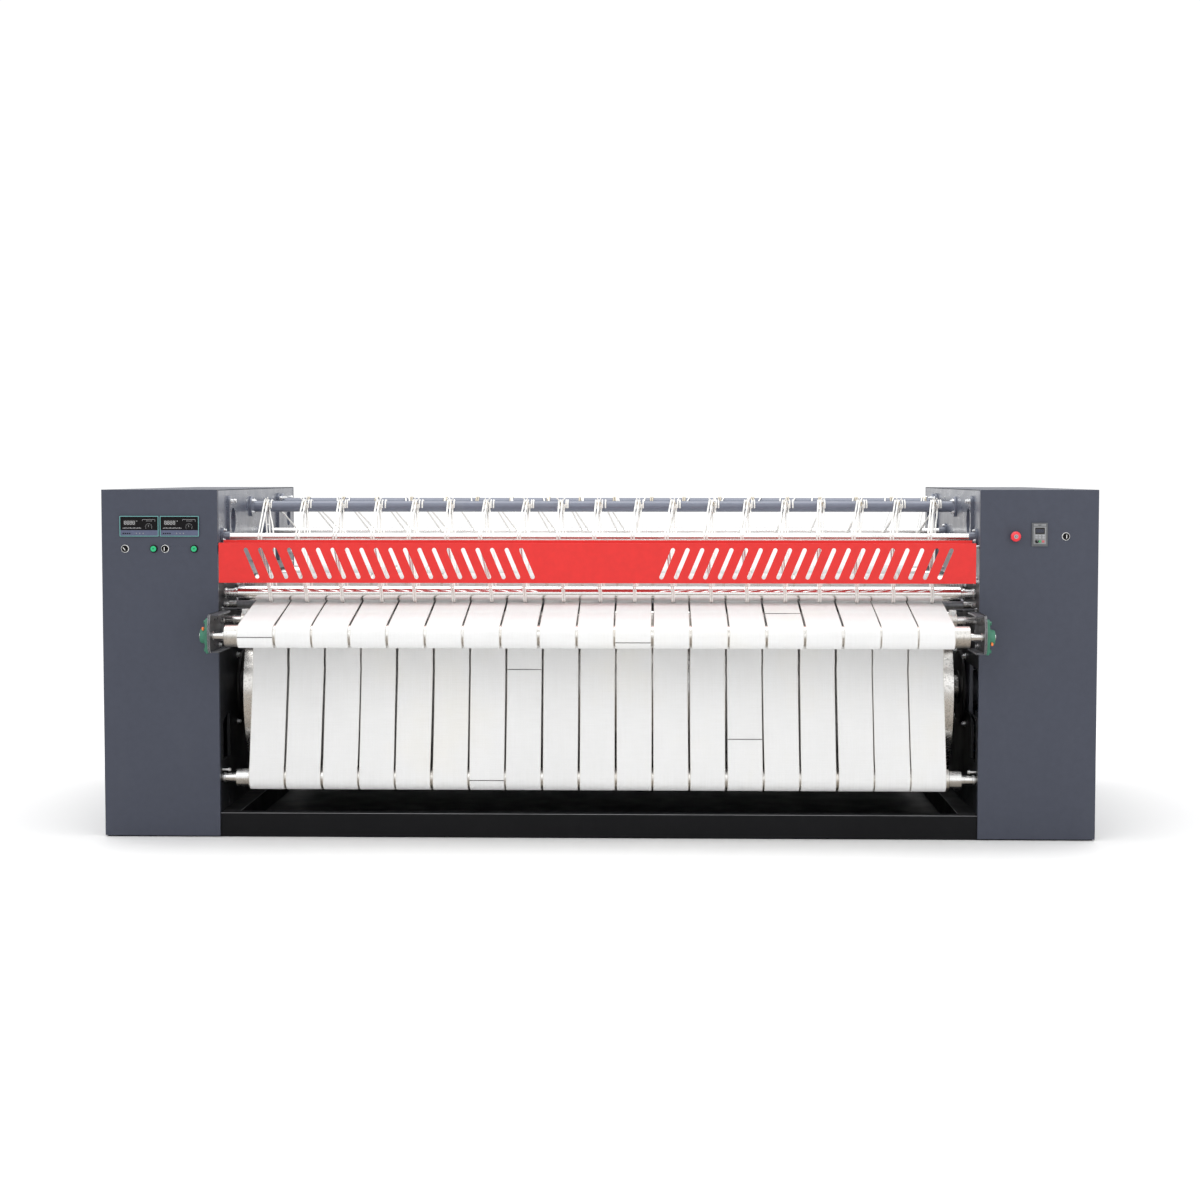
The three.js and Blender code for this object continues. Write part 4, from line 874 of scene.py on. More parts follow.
# ------------------------------------------------------------------ feed brackets and flange bearings
for side, s in SIDES:
    y, z = AX["feed"]
    b = Build()
    nose = [(-205 - 31 * math.cos(math.pi * (a - 8) / 16), 865 + 79 * math.sin(math.pi * (a - 8) / 16)) for a in range(17)]
    out = [*nose, (52, 944), (52, 786)]
    xa, xb = s * (INNER - 10), s * (INNER - 2)
    extra = [circle(py, pz, 5.2, 16) for py, pz in ((-120, 918), (-60, 918), (-120, 868), (-120, 812), (10, 812))]
    b.plate(out, [circle(y, z, 19, 32)] + extra, "x", min(xa, xb), max(xa, xb), "bracket_web")
    # a lighter rim plate, just proud of both faces, round the bracket's outline: a painted highlight on the edge
    inner_nose = [(-205 - 27 * math.cos(math.pi * (a - 8) / 16), 865 + 75 * math.sin(math.pi * (a - 8) / 16)) for a in range(17)]
    b.plate(out, [[*inner_nose, (47, 940), (47, 790)]], "x", min(xa, xb) - 0.6, max(xa, xb) + 0.6, "bracket_edge")
    g0, g1 = sorted((s * (INNER - 42), s * (INNER - 9)))
    for za, zb in ((786, 793), (937, 944)):
        fl = round_poly(rect(g0, g1, -207, 52), 7, 5)
        b.plate(fl, [], "z", za, zb, "bracket")
    for py, pz in ((20, 830), (20, 905)):
        b.bolt((s * (INNER - 10), py, pz), (-s, 0, 0), 16, 9)
    b.bolt((s * (INNER - 10), -30, 806), (-s, 0, 0), 15, 8)
    b.make(f"feed_bracket_channel_{side}", "machine", f"feed_bracket_{side}", "bracket", bevel=1.6, segs=3)
    b = Build()
    flange = round_poly([(y - 20, z - 72), (y + 20, z - 72), (y + 40, z - 30), (y + 40, z + 30), (y + 20, z + 72),
                         (y - 20, z + 72), (y - 40, z + 30), (y - 40, z - 30)], 16, 6)
    xa, xb = s * (INNER - 1.5), s * (INNER + 11)
    b.plate(flange, [circle(y, z, 24, 32)], "x", min(xa, xb), max(xa, xb), "green_iron")
    b.turned_loop((0, y, z), (s, 0, 0), [(INNER + 6, 22), (INNER + 6, 35), (INNER + 12, 33), (INNER + 30, 30), (INNER + 34, 27),
                                         (INNER + 34, 22), (INNER + 31, 21.5)], "green_iron", 56)
    b.turned_loop((0, y, z), (s, 0, 0), [(INNER + 3, 14.3), (INNER + 3, 22), (INNER + 29, 22), (INNER + 31, 20), (INNER + 31, 14.3)],
                  "zinc", 48)
    for dz in (-56, 56):
        b.bolt((s * (INNER + 11), y, z + dz), (s, 0, 0), 15, 8, "green_iron")
    # grease nipple with its orange cap, pointing forwards and up on the left, down on the right
    ang = math.radians(52 if s < 0 else -42)
    d = Vector((0, -math.cos(ang), math.sin(ang)))
    base_pt = Vector((s * (INNER + 20), y, z)) + d * 29
    b.turned(tuple(base_pt), tuple(d), [(0, 0), (0, 4), (4, 4), (4, 3), (6, 3), (6, 0)], "zinc", 16)
    b.turned(tuple(base_pt + d * 4), tuple(d), [(0, 0), (0, 5.2), (1, 5.8), (9, 5.4), (12, 3.6), (13, 0)], "orange", 24, soft=0.6)
    b.make(f"flange_bearing_{side}", "machine", f"feed_bearing_{side}", "bearing", bevel=1.4, segs=3)
    # small white guide block over the snub roller's neck
    b = Build()
    b.plate(round_poly(rect(s * 1473 - 14, s * 1473 + 14, 60, 92), 4, 4), [], "z", 927, 949, "cord")
    b.plate(round_poly(rect(s * 1473 - 6, s * 1473 + 6, 52, 60), 2, 3), [], "z", 920, 944, "zinc")
    b.plate(round_poly(rect(min(s * 1473, s * 1574), max(s * 1473, s * 1574), 66, 84), 2, 3), [], "z", 949, 953, "bracket")
    b.make(f"belt_guide_block_{side}", "machine", (), "bracket", bevel=1.2)


# ------------------------------------------------------------------ belts
def taut(circles, closed=True, step_deg=12.0):
    n = len(circles)

    def tangent(a, b):
        dy, dz = b["y"] - a["y"], b["z"] - a["z"]
        d = math.hypot(dy, dz)
        k = b["s"] * b["r"] - a["s"] * a["r"]
        th = math.atan2(dz, dy) - math.asin(k / d)
        return -math.sin(th), math.cos(th)

    lines = [tangent(circles[i], circles[(i + 1) % n]) for i in range(n if closed else n - 1)]
    out = []
    for i, c in enumerate(circles):
        inc = lines[(i - 1) % n] if (closed or i > 0) else None
        exi = lines[i] if (closed or i < n - 1) else None

        def ang(l):
            return math.atan2(-c["s"] * l[1], -c["s"] * l[0])

        if inc and exi:
            a0, a1 = ang(inc), ang(exi)
        elif exi:
            a1 = ang(exi)
            a0 = a1 - c["s"] * c["wrap"]
        else:
            a0 = ang(inc)
            a1 = a0 + c["s"] * c["wrap"]
        sw = a1 - a0
        if c["s"] > 0:
            while sw < 0:
                sw += 2 * math.pi
            while sw >= 2 * math.pi:
                sw -= 2 * math.pi
        else:
            while sw > 0:
                sw -= 2 * math.pi
            while sw <= -2 * math.pi:
                sw += 2 * math.pi
        k = max(1, math.ceil(abs(sw) / math.radians(c.get("step", step_deg))))
        for j in range(k + 1):
            a = a0 + sw * j / k
            out.append((c["y"] + c["r"] * math.cos(a), c["z"] + c["r"] * math.sin(a),
                        -c["s"] * math.cos(a), -c["s"] * math.sin(a), True))
    return out


BELT_T = 3.4
OFF = 0.9 + BELT_T / 2


def belt_path():
    def c(k, r, s, step=12.0):
        return {"y": AX[k][0], "z": AX[k][1], "r": r + OFF, "s": s, "step": step}

    raw = taut([c("feed", 44.5, -1), c("turn1", 30, -1), c("drum1", 400, 1, 4), c("exit1", 44.5, -1),
                c("turn2", 30, -1), c("drum2", 400, 1, 4), c("exit2", 44.5, -1), c("rearTop", 44.5, -1),
                c("rearLow", 44.5, -1), c("idler", 30, -1), c("frontLow", 44.5, -1), c("snub", 30, 1)])
    pts = []
    n = len(raw)
    for i in range(n):
        a, b = raw[i], raw[(i + 1) % n]
        pts.append((a[0], a[1], a[2], a[3], 0.0))
        d = math.hypot(b[0] - a[0], b[1] - a[1])
        if d > 60:
            k = int(d // 40)
            for j in range(1, k):
                t = j / k
                ny, nz = a[2] * (1 - t) + b[2] * t, a[3] * (1 - t) + b[3] * t
                free = min(1.0, 4 * t * (1 - t) * 2)
                pts.append((a[0] + (b[0] - a[0]) * t, a[1] + (b[1] - a[1]) * t, ny, nz, free))
    return pts


PATH = belt_path()
RUN = [0.0]
for i in range(1, len(PATH)):
    RUN.append(RUN[-1] + math.hypot(PATH[i][0] - PATH[i - 1][0], PATH[i][1] - PATH[i - 1][1]))
TOTAL = RUN[-1] + math.hypot(PATH[0][0] - PATH[-1][0], PATH[0][1] - PATH[-1][1])
# splices: belt number and the (y, z) on the path where its lacing lies in the photographed state
SPLICES = {7: (76, 708), 6: (10, 240), 13: (31, 398), 10: (-230, 838), 0: (-231, 856), 14: (-20, 942), 2: (500, 990),
           4: (900, 1020), 16: (1300, 1000), 11: (1815, 600), 17: (1400, 118), 9: (600, 118)}
COLS = 8
def crowd(y, z):
    """How far a belt has moved inwards (0 at the two front rollers, 1 at the drums)."""
    if z < 300:
        t = (y - 58) / 900
    elif y < 80 and z < 800:
        t = (z - 242) / 560
    else:
        t = (y + 185) / 410
    return max(0.0, min(1.0, t))


def belt_x(k, y, z):
    base = (k - 9) * PITCH - {17: 3.0, 18: 6.0}.get(k, 0.0)
    return base * (1 - 0.008 * crowd(y, z))


for k in range(19):
    verts, faces, uvs = [], [], []
    n = len(PATH)
    for i, (py, pz, ny, nz, free) in enumerate(PATH):
        ph = 2 * math.pi * RUN[i] / TOTAL
        cx = belt_x(k, py, pz)
        drift = 0.9 * math.sin(ph * 3 + k * 1.7) + 0.6 * math.sin(ph * 7 + k * 2.3)
        wl = 72.3 + 0.5 * math.sin(ph * 11 + k * 3.1)
        for side_t in (1, -1):
            for j in range(COLS + 1):
                u = -1 + 2 * j / COLS
                x = cx + drift + u * wl
                wave = 0.0
                if free > 0:
                    q = noise.noise(Vector((x * 0.006 + k * 3.7, RUN[i] * 0.0035, 0.3)))
                    q2 = noise.noise(Vector((x * 0.02 + k * 5.1, RUN[i] * 0.011, 4.3)))
                    wave = free * (1.7 * q + 0.6 * q2 + 0.5 * abs(u) ** 6)
                h = side_t * BELT_T / 2 + wave
                verts.append((x, py + ny * h, pz + nz * h))
    row = 2 * (COLS + 1)
    for i in range(n):
        i2 = (i + 1) % n
        v0, v1 = RUN[i] / 1000, (RUN[i2] if i2 else TOTAL) / 1000
        for j in range(COLS):
            ua = (-1 + 2 * j / COLS) * 0.0726
            ub = (-1 + 2 * (j + 1) / COLS) * 0.0726
            faces.append([i * row + j, i * row + j + 1, i2 * row + j + 1, i2 * row + j])
            uvs.append([(ua, v0), (ub, v0), (ub, v1), (ua, v1)])
            a = COLS + 1
            faces.append([i * row + a + j, i2 * row + a + j, i2 * row + a + j + 1, i * row + a + j + 1])
            uvs.append([(ua, v0), (ua, v1), (ub, v1), (ub, v0)])
        faces.append([i * row, i2 * row, i2 * row + COLS + 1, i * row + COLS + 1])
        uvs.append([(-0.0726, v0), (-0.0726, v1), (-0.0726, v1), (-0.0726, v0)])
        faces.append([i * row + COLS, i * row + 2 * COLS + 1, i2 * row + 2 * COLS + 1, i2 * row + COLS])
        uvs.append([(0.0726, v0), (0.0726, v0), (0.0726, v1), (0.0726, v1)])
    b = Build().add(verts, faces, "belt", uvs)
    sp = SPLICES.get(k)
    if sp is None:
        sp = (rnd.uniform(700, 1000), 1040)
    best = min(range(n), key=lambda i: (PATH[i][0] - sp[0]) ** 2 + (PATH[i][1] - sp[1]) ** 2)
    a, c2 = PATH[best], PATH[(best + 1) % n]
    ty, tz = c2[0] - a[0], c2[1] - a[1]
    tl = math.hypot(ty, tz)
    ty, tz = ty / tl, tz / tl
    # which face is outside: the belt's left normal side (+n) or the other; lace both
    drift = 0.9 * math.sin(2 * math.pi * RUN[best] / TOTAL * 3 + k * 1.7) + 0.6 * math.sin(2 * math.pi * RUN[best] / TOTAL * 7 + k * 2.3)
    cx = belt_x(k, a[0], a[1])
    for hs in (1, -1):
        oy, oz = a[0] + a[2] * hs * (BELT_T / 2 + 0.5), a[1] + a[3] * hs * (BELT_T / 2 + 0.5)
        line = [(cx + drift - 71.5 + 143 * q / 24, oy + ty * 0.12 * math.sin(q * 0.9), oz + tz * 0.12 * math.sin(q * 0.9)) for q in range(25)]
        b.tube(line, 1.5, "lace", 6)
    o = b.make(f"ironing_belt_{k + 1:02d}", "machine", "ironing_belts" if k == 0 else (), "belt", angle=50)

# ------------------------------------------------------------------ cord bars and guide tubes
for nm, k, r, node_name, mkey, skey, zf in (
        ("cord_bar_front_tube", "bar1", 24, "cord_bar_front", "bar", "inner", 1),
        ("cord_bar_rear_tube", "bar2", 24, "cord_bar_rear", "bar", "inner", 1)):
    y, z = AX[k]
    b = Build()
    e = INNER - 12.4
    b.turned((0, y, z), (1, 0, 0), [(-e, 0), (-e, r), (e, r), (e, 0)], mkey, 64)
    for side, s in SIDES:
        fl = circle(y, z, 45, 48)
        xa, xb = s * (e - 9), s * e
        b.plate(fl, [circle(y, z, r - 0.5, 40)], "x", min(xa, xb), max(xa, xb), "bar")
        b.turned_loop((0, y, z), (s, 0, 0), [(e - 16, r - 0.5), (e - 16, r + 0.8), (e - 10, r + 5), (e - 9, r + 6), (e - 9, r - 0.5)], "bar", 48)
        for a in range(4):
            w = math.pi / 4 + a * math.pi / 2
            b.bolt((s * (e - 9), y + 35 * math.cos(w), z + 35 * math.sin(w)), (-s, 0, 0), 12, 7, stud=3)
    b.make(nm, "machine", node_name, "cabinet", bevel=0.6)
for nm, k, r, node_name in (("guide_tube_front_polished", "tube1", 15, "guide_tube_front"),
                            ("guide_tube_middle_polished", "tube2", 14, "guide_tube_middle")):
    y, z = AX[k]
    b = Build()
    e = INNER - 0.4
    b.turned((0, y, z), (1, 0, 0), [(-e + 14, 0), (-e + 14, r), (e - 14, r), (e - 14, 0)], "roller", 56)
    for side, s in SIDES:
        b.turned_loop((0, y, z), (s, 0, 0), [(e - 34, r + 0.3), (e - 34, r + 4), (e - 30, r + 6), (e - 9, r + 7), (e - 9, r + 0.3)], "inner", 48)
        xa, xb = s * (e - 9), s * e
        b.plate(circle(y, z, 36, 48), [], "x", min(xa, xb), max(xa, xb), "inner")
        for a in range(3):
            w = math.pi / 2 + a * 2 * math.pi / 3
            b.bolt((s * (e - 9), y + 27 * math.cos(w), z + 27 * math.sin(w)), (-s, 0, 0), 10, 6, stud=2)
    b.make(nm, "machine", node_name, "steel", bevel=0.6)


# ------------------------------------------------------------------ guide cords
def smooth_line(pts, k=4):
    out = []
    n = len(pts)
    for i in range(n - 1):
        p0 = Vector(pts[max(0, i - 1)])
        p1, p2 = Vector(pts[i]), Vector(pts[i + 1])
        p3 = Vector(pts[min(n - 1, i + 2)])
        for j in range(k):
            t = j / k
            out.append(tuple(0.5 * ((2 * p1) + (p2 - p0) * t + (2 * p0 - 5 * p1 + 4 * p2 - p3) * t * t
                                    + (3 * p1 - p0 - 3 * p2 + p3) * t ** 3)))
    out.append(tuple(pts[-1]))
    return out


CORD_R = 3.5


def loop_path(x_bar, x_tube, x_press, x_back, side_shift=0.0):
    """The closed run of one cord: over the bar, over the front tube, round the press roller and back."""
    g = CORD_R + 0.5

    def c(k, r, s, step=24):
        return {"y": AX[k][0], "z": AX[k][1], "r": r + g, "s": s, "step": step}

    ring = taut([c("bar1", 24, 1), c("tube1", 15, 1), c("press", 31.0, 1)], True)
    out = []
    for py, pz, _, _, _ in ring:
        if py > 300:
            x = x_bar
        elif pz > 1180:
            x = x_tube
        else:
            x = x_press
        out.append((x, py, pz))
    # straight stretches: x steps from one support's x to the next between neighbouring points of the run
    return out


# measured places of the groups: at the front bar, at the front tube and at the press roller
def spread(first, last, seed):
    r = random.Random(seed)
    return [first + (last - first) * i / 18 + r.uniform(-9, 9) for i in range(19)]


X_BAR, X_TUBE, X_PRESS = spread(-1486, 1462, 3), spread(-1416, 1382, 5), spread(-1372, 1392, 9)
for k in range(19):
    r = random.Random(100 + k)
    xb, xt, xp = X_BAR[k], X_TUBE[k], X_PRESS[k]
    b = Build()
    by, bz = AX["bar1"]
    for q, (db, dt, dp) in enumerate(((-8, -5.5, -3.8), (5, 5.5, 3.8))):
        db, dt = db + r.uniform(-1, 1), dt + r.uniform(-0.8, 0.8)
        path = loop_path(xb + db, xt + dt, xp + dp, xb + db)
        b.tube(path, CORD_R, "cord", 8, closed=True)
    # a second, slack pair comes down behind, from the bar to the rear of the press roller
    xs = xb + 15 + r.uniform(-4, 4)
    pts = [(xs - 5, by - 20, bz + 18), (xs - 2, by - 29, bz + 2), (xs, by - 24, bz - 16),
           (xs + (xp + 12 - xs) * 0.147, by - 96, bz - 42), (xs + (xp + 12 - xs) * 0.564, by - 300, bz - 104), (xp + 12, 168, 1040), (xp + 9, 161, 1013)]
    b.tube(smooth_line(pts, 5), CORD_R, "cord", 8)
    # knot: two turns round the bar, a bound hitch and two free ends
    turns = []
    for j in range(50):
        w = math.radians(200) - j / 49 * math.radians(760)
        turns.append((xb - 4 + 21 * j / 49, by + (24 + CORD_R) * math.cos(w), bz + (24 + CORD_R) * math.sin(w)))
    b.tube(turns, CORD_R, "cord", 8)
    hx, hy, hz = xb + 4 + r.uniform(-3, 3), by - 27, bz + 13
    hitch = []
    for j in range(46):
        t = 2 * math.pi * j / 46
        hitch.append((hx + 5.6 * (math.sin(t) + 2 * math.sin(2 * t)) * 0.42, hy - 3.6 + 3.4 * math.sin(3 * t),
                      hz + 5.6 * (math.cos(t) - 2 * math.cos(2 * t)) * 0.42))
    b.tube(hitch, 3.0, "knot", 8, closed=True)
    for q in range(2):
        d = r.uniform(-1, 1)
        end = [(hx + (q * 8 - 4), hy - 5, hz + 4), (hx + (q * 10 - 5) + 3 * d, hy - 9, hz + 13),
               (hx + (q * 14 - 7) + 8 * d, hy - 11, hz + 19 + 5 * r.random()),
               (hx + (q * 18 - 9) + 12 * d, hy - 12 + 3 * d, hz + 22 + 5 * r.random())]
        b.tube(smooth_line(end, 4), 2.6, "cord", 8)
    b.make(f"guide_cord_front_{k + 1:02d}", "machine", "guide_cords" if k == 0 else (), "cord")

    # rear cord: front bar, under the middle tube, to the rear bar
    b = Build()
    ty, tz = AX["tube2"]
    ry, rz = AX["bar2"]
    g = CORD_R + 0.6
    x0 = xb + 22
    for q in range(2 if k % 5 else 1):
        dx = q * 11 + r.uniform(-2, 2)
        xm = x0 + dx + ((66 + 24 * q) if k <= 9 else -(40 + 20 * q))
        xe = xb + 40 + r.uniform(-22, 34) + q * 26
        raw = taut([{"y": by, "z": bz, "r": 24 + g, "s": -1, "wrap": 2.2, "step": 20},
                    {"y": ty, "z": tz, "r": 14 + g, "s": 1, "step": 20},
                    {"y": ry, "z": rz, "r": 24 + g, "s": -1, "wrap": 3.6, "step": 20}], False)
        path = []
        for py, pz, _, _, _ in raw:
            path.append((x0 + dx if py < by + 40 else (xm if py < ty + 40 else xe), py, pz))
        b.tube(path, CORD_R, "cord", 8)
    tw = []
    for j in range(40):
        w = math.radians(160) - j / 39 * math.radians(600)
        tw.append((x0 + 30 + 15 * j / 39, ry + (24 + CORD_R) * math.cos(w), rz + (24 + CORD_R) * math.sin(w)))
    b.tube(tw, CORD_R, "knot", 8)
    b.make(f"guide_cord_rear_{k + 1:02d}", "machine", (), "cord")

# ------------------------------------------------------------------ finger guard
b = Build()
slots = []
for s in (-1, 1):
    for k in range(20):
        top, low = Vector((s * (313 + 60.2 * k), 1199)), Vector((s * (266 + 60.2 * k), 1087))
        d = (low - top).normalized()
        nrm = Vector((-d.y, d.x))
        pts = []
        for j in range(9):
            w = math.pi * j / 8
            pts.append(tuple(low + (nrm * math.cos(w) + d * math.sin(w)) * 8.7))
        for j in range(9):
            w = math.pi * j / 8
            pts.append(tuple(top + (-nrm * math.cos(w) - d * math.sin(w)) * 8.7))
        slots.append(pts)
b.plate(rect(-1570, 1558, 1062, 1227), slots, "y", 0, 2, "red")
b.plate(rect(-1570, 1558, 1.0, 12), [], "z", 1062.2, 1064, "red")
b.plate(rect(-1570, 1558, 1.0, 37), [], "z", 1225.4, 1227.4, "red")
b.plate(rect(-1556, 1546, 1226, 1239), [], "y", 35.2, 37.2, "red")
for side, s in SIDES:
    out = round_poly([(1.0, 1226), (1.0, 1180), (20, 1180), (50, 1203), (50, 1220), (44, 1226)], 5, 5)
    e = 1570 if s < 0 else 1558
    xa, xb = s * (e - 5), s * e
    b.plate(out, [], "x", min(xa, xb), max(xa, xb), "red")
    b.turned((0, *AX["guard"]), (s, 0, 0), [(e - 6, 0), (e - 6, 9), (e + 0.5, 9), (e + 0.5, 6.3), (1579, 6.3), (1579, 0)], "zinc", 28, soft=0.4)
b.make("finger_guard_sheet", "guard", "finger_guard", "guard", bevel=0.5, segs=2)


# ------------------------------------------------------------------ controls
def segment_digit(b, x, z, w, h, key, y):
    """An unlit seven-segment figure eight."""
    t = w * 0.17
    for zz in (z, z + h / 2, z + h):
        b.box(x + t, x + w - t, y, y + 0.8, zz - t / 2, zz + t / 2, key)
    for xx in (x, x + w - t):
        for za, zb in ((z + t * 0.6, z + h / 2 - t * 0.6), (z + h / 2 + t * 0.6, z + h - t * 0.6)):
            b.box(xx, xx + t, y, y + 0.8, za, zb, key)


for i, (a, c) in enumerate(CONTROLLERS):
    z0, z1 = CTRL_Z
    b = Build()
    b.plate(round_poly(rect(a, c, z0, z1), 3, 4), [], "y", -5.6, -0.4, "panel_grey")
    # raised teal rim
    b.plate(round_poly(rect(a, c, z0, z1), 3, 4), [round_poly(rect(a + 3, c - 3, z0 + 3, z1 - 3), 1.5, 3)], "y", -7, -5.5, "teal")
    b.plate(rect(a + 3.2, c - 3.2, z0 + 26, z1 - 3.2), [], "y", -6.1, -5.5, "panel_black")
    # display window with four figures
    b.plate(round_poly(rect(a + 16, a + 68, z0 + 46, z0 + 68), 1.5, 3), [], "y", -6.5, -6.0, "gloss")
    for d in range(4):
        segment_digit(b, a + 19.5 + 11.6 * d, z0 + 50, 9.2, 13.5, "digit", -6.9)
    b.turned((a + 72.5, -6.0, z0 + 64), (0, -1, 0), [(0, 0), (0, 1.6), (0.6, 1.6), (0.6, 0)], "digit", 16)
    # a row of small indicator marks under the display
    for d in range(13):
        b.box(a + 13 + 6.1 * d, a + 16.6 + 6.1 * d, -6.5, -6.0, z0 + 32.5, z0 + 36 + (d % 3), "tick")
    # bracket mark and round dial scale on the right
    b.box(c - 68, c - 14, -6.5, -6.0, z1 - 15.4, z1 - 14, "tick")
    b.box(c - 68, c - 66.6, -6.5, -6.0, z1 - 20, z1 - 14, "tick")
    b.box(c - 15.4, c - 14, -6.5, -6.0, z1 - 24, z1 - 14, "tick")
    for d in range(5):
        b.box(c - 52 + 5.4 * d, c - 49 + 5.4 * d, -6.5, -6.0, z1 - 22, z1 - 19.5, "tick")
    dx, dz = c - 41, z0 + 40
    for d in range(15):
        w = math.radians(-120 + 240 * d / 14 + 90)
        u, v = math.cos(w), math.sin(w)
        p0, p1 = (dx + 11.2 * u, dz + 11.2 * v), (dx + (14.5 if d % 2 else 15.6) * u, dz + (14.5 if d % 2 else 15.6) * v)
        nx, nz = -v * 0.5, u * 0.5
        b.plate([(p0[0] - nx, p0[1] - nz), (p1[0] - nx, p1[1] - nz), (p1[0] + nx, p1[1] + nz), (p0[0] + nx, p0[1] + nz)],
                [], "y", -6.5, -6.0, "tick")
    b.turned((dx, -6.0, dz), (0, -1, 0), [(0, 0), (0, 9.4), (4, 9.0), (4.6, 8.0), (4.6, 0)], "black", 36, soft=0.4)
    b.box(dx - 0.8, dx + 0.8, -11.0, -10.4, dz, dz + 7.6, "tick")
    # dark marks on the grey strip
    for d in range(4):
        b.box(a + 12 + 9 * d, a + 18 + 9 * d, -6.2, -5.5, z0 + 10, z0 + 15, "panel_black")
    for d in range(3):
        b.turned((a + 70 + 14 * d, -5.6, z0 + 13), (0, -1, 0), [(0, 0), (0, 2.2), (0.8, 2.0), (0.8, 0)], "tick", 16)
    b.box(a + 6, c - 6, -0.5, 78, z0 + 5.5, z1 - 5.5, "black")
    b.make(f"temperature_controller_unit_{i + 1}", "machine", f"temperature_controller_{i + 1}", "panel", bevel=0.25)


def ring_at(x, z, name, key="ring"):
    """Front ring of a panel switch, with its rubber washer."""
    b = Build()
    b.turned_loop((x, 0, z), (0, -1, 0), [(0.4, 8.6), (0.4, 15.9), (1.2, 16.4), (3.6, 16.1), (5.4, 15.0), (6.0, 13.8), (5.2, 13.2), (3.0, 13.0)],
                  key, 48)
    b.turned_loop((x, 0, z), (0, -1, 0), [(0.05, 8.7), (0.05, 15.6), (0.9, 15.9), (1.0, 8.7)], "black", 48)
    b.make(name, "machine", (), "black")


for n, (x, z, ang, body, node_name) in enumerate(((SELECT_L[0], ROW_L, -38, "selector_a", "selector_knob_1"),
                                                  (SELECT_L[1], ROW_L, 0, "selector_b", "selector_knob_2"),
                                                  (*SELECT_R, 0, "selector_c", "selector_knob_3"))):
    ring_at(x, z, f"selector_ring_{n + 1}")
    b = Build()
    b.turned((x, 0, z), (0, -1, 0), [(-24, 0), (-24, 7.2), (4, 7.2), (4, 9.6), (9, 9.4), (10.5, 8.6), (10.8, 0)], "black", 40)
    w = math.radians(ang)
    ux, uz = math.sin(w), math.cos(w)
    vx, vz = uz, -ux

    def q(p, t):
        return (x + ux * p + vx * t, z + uz * p + vz * t)

    b.plate(round_poly([q(-9.4, -3.4), q(9.4, -3.4), q(9.4, 3.4), q(-9.4, 3.4)], 2.6, 5), [], "y", -19, -10, "black")
    b.plate([q(-7.6, -1.3), q(7.6, -1.3), q(7.6, 1.3), q(-7.6, 1.3)], [], "y", -19.6, -18.8, "white")
    b.make(f"selector_handle_{n + 1}", body, node_name, "black", bevel=0.7)
for n, x in enumerate(GREEN_L):
    ring_at(x, ROW_L, f"start_button_ring_{n + 1}", "black")
    b = Build()
    b.turned((x, 0, ROW_L), (0, -1, 0), [(-17, 0), (-17, 9.2), (9.3, 9.2), (9.3, 11.4), (10.0, 12.1), (11.7, 11.7), (12.3, 10.2),
                                        (11.3, 9.4), (11.1, 0)], "green_button", 48, soft=0.3)
    b.box(x - 3.4, x + 3.4, -11.7, -11.0, ROW_L - 1.3, ROW_L + 1.3, "panel_black")
    b.make(f"start_button_cap_{n + 1}", f"button_{'ab'[n]}", f"start_button_{n + 1}", "green")
# emergency stop: mushroom with a silver key insert
ring_at(*ESTOP, "stop_ring", "black")
b = Build()
b.turned((ESTOP[0], 0, ESTOP[1]), (0, -1, 0), [(-18, 0), (-18, 9.2), (15, 9.2), (15, 14), (16, 18.6), (19, 20.8), (23, 21.2), (27, 20.2),
                                       (30, 17.4), (31.6, 13.4), (32, 9.8), (32, 0)], "red_button", 64, soft=0.6)
b.turned((ESTOP[0], 0, ESTOP[1]), (0, -1, 0), [(31.4, 0), (31.4, 8.8), (32.6, 8.6), (32.8, 7.2), (32.4, 5.2), (32.2, 0)], "key_grey", 48)
b.turned((ESTOP[0], 0, ESTOP[1]), (0, -1, 0), [(32.0, 0), (32.0, 4.6), (32.9, 4.2), (32.9, 0)], "black", 32)
b.box(ESTOP[0] - 0.8, ESTOP[0] + 0.8, -33.3, -32.6, ESTOP[1] - 3, ESTOP[1] + 3, "ring")
b.make("stop_button_mushroom", "stop_button", "emergency_stop_button", "red")

# drive keypad
a, c, z0, z1 = KEYPAD
kx, kz = 1803.0, 1236.5
b = Build()
b.plate(round_poly(rect(a, c, z0, z1), 2.4, 4), [circle(kx, kz, 3.6, 20)], "y", -6, -0.4, "pad_grey")
b.plate(rect(a + 7, c - 7, z1 - 13, z1 - 5), [rect(a + 26, c - 26, z1 - 11.5, z1 - 7.5)], "y", -7.2, -5.9, "pad_light")
b.plate(round_poly(rect(1789.8, 1841.7, 1225.5, 1298), 2, 4), [circle(kx, kz, 3.6, 20)], "y", -7.4, -5.9, "pad_light")
b.plate(round_poly(rect(1796.4, 1835.6, 1267, 1293), 1.2, 4), [], "y", -8.0, -7.3, "gloss")
for d in range(4):
    segment_digit(b, 1800.5 + 8.1 * d, 1273.5, 6.2, 12, "panel_grey", -8.3)
for zz in (1260.7, 1251.7):
    for xx in (1802.0, 1815.6, 1830.7):
        b.plate(round_poly(rect(xx - 4.6, xx + 4.6, zz - 3.2, zz + 3.2), 1.6, 4), [], "y", -9.0, -7.3, "key_grey")
for xx, key in ((1815.6, "key_green"), (1829.5, "key_red")):
    b.plate(round_poly(rect(xx - 4.8, xx + 4.8, kz - 4.2, kz + 4.2), 1.8, 4), [], "y", -9.0, -7.3, key)
b.box(a + 4, c - 4, -0.5, 44, z0 + 4, z1 - 4, "black")
b.make("drive_keypad", "machine", "speed_keypad", "black", bevel=0.4)
b = Build()
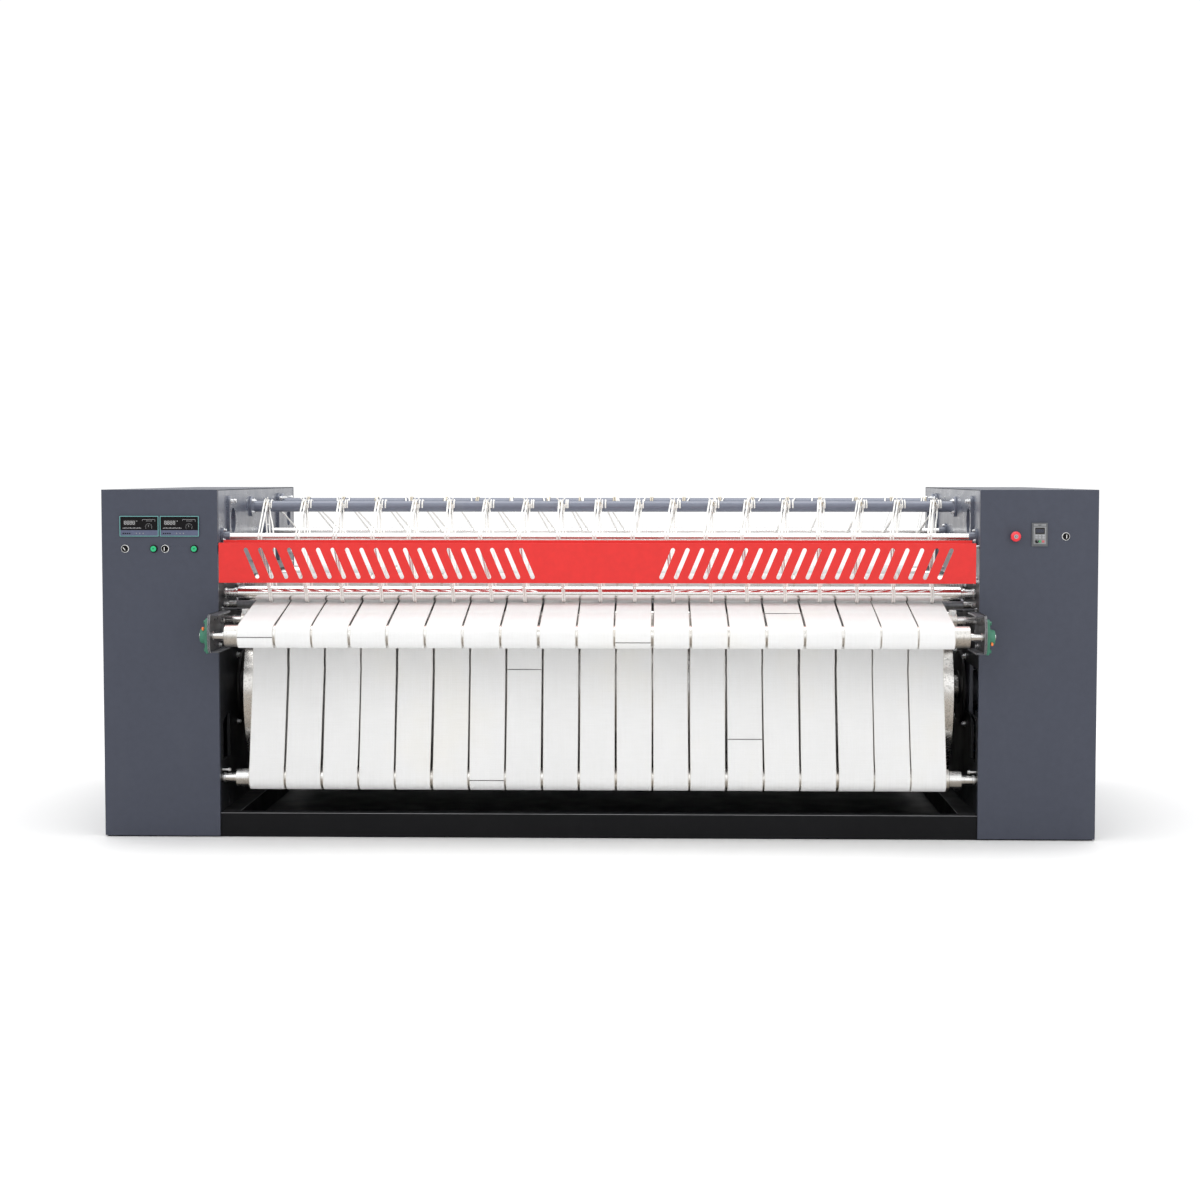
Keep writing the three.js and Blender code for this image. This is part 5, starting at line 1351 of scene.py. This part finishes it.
b.turned((kx, 0, kz), (0, -1, 0), [(-8, 0), (-8, 3), (9.6, 3), (9.6, 6.6), (18.5, 6.2), (19.8, 5.2), (20, 0)], "black", 40, soft=0.4)
for j in range(18):
    w = 2 * math.pi * j / 18
    b.box(kx + 6.3 * math.cos(w) - 0.4, kx + 6.3 * math.cos(w) + 0.4, -18, -10.4, kz + 6.3 * math.sin(w) - 0.4,
          kz + 6.3 * math.sin(w) + 0.4, "black")
b.box(kx - 0.6, kx + 0.6, -20.4, -19.6, kz + 1, kz + 5.6, "digit")
b.make("speed_dial", "dial", "speed_knob", "black")

# ------------------------------------------------------------------ stage and light
me = bpy.data.meshes.new("floor")
S = 60.0
me.from_pydata([(-S, -S, -0.0015), (S, -S, -0.0015), (S, S, -0.0015), (-S, S, -0.0015)], [], [[0, 1, 2, 3]])
floor = bpy.data.objects.new("floor", me)
bpy.context.scene.collection.objects.link(floor)
fm, fnt, fb = new_mat("pale_floor")
fmix = node(fnt, "ShaderNodeMix", data_type="RGBA")
fmix.inputs["A"].default_value = (0.97, 0.97, 0.97, 1)
fmix.inputs["B"].default_value = (0.32, 0.285, 0.245, 1)
fnt.links.new(node(fnt, "ShaderNodeLightPath").outputs["Is Glossy Ray"], fmix.inputs["Factor"])
fnt.links.new(fmix.outputs["Result"], fb.inputs["Base Color"])
fb.inputs["Roughness"].default_value = 0.7
me.materials.append(fm)
floor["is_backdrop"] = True

world = bpy.data.worlds.new("studio")
bpy.context.scene.world = world
world.use_nodes = True
wn = world.node_tree.nodes["Background"]
wn.inputs["Color"].default_value = (1.0, 1.0, 1.0, 1)
wn.inputs["Strength"].default_value = 1.05


def area(name, loc, target, size, power, color=(1, 1, 1)):
    d = bpy.data.lights.new(name, "AREA")
    d.shape = "RECTANGLE"
    d.size, d.size_y = size
    d.energy = power
    d.color = color
    o = bpy.data.objects.new(name, d)
    bpy.context.scene.collection.objects.link(o)
    o.location = loc
    o.rotation_mode = "QUATERNION"
    o.rotation_quaternion = (Vector(target) - Vector(loc)).to_track_quat("-Z", "Y")
    return o


area("key", (-1.5, -6.5, 5.2), (0, -0.6, 0.8), (6.0, 3.0), 60)
area("fill", (4.5, -7.0, 2.6), (0.4, -0.6, 0.7), (3.5, 3.0), 30)
area("top", (0.0, 0.2, 5.6), (0, 0.2, 0.5), (6.0, 3.0), 150)

bpy.context.scene.view_settings.view_transform = "Standard"
bpy.context.scene.view_settings.look = "None"
bpy.context.scene.view_settings.exposure = 0.0
bpy.context.scene.view_settings.gamma = 1.0

low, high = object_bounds()
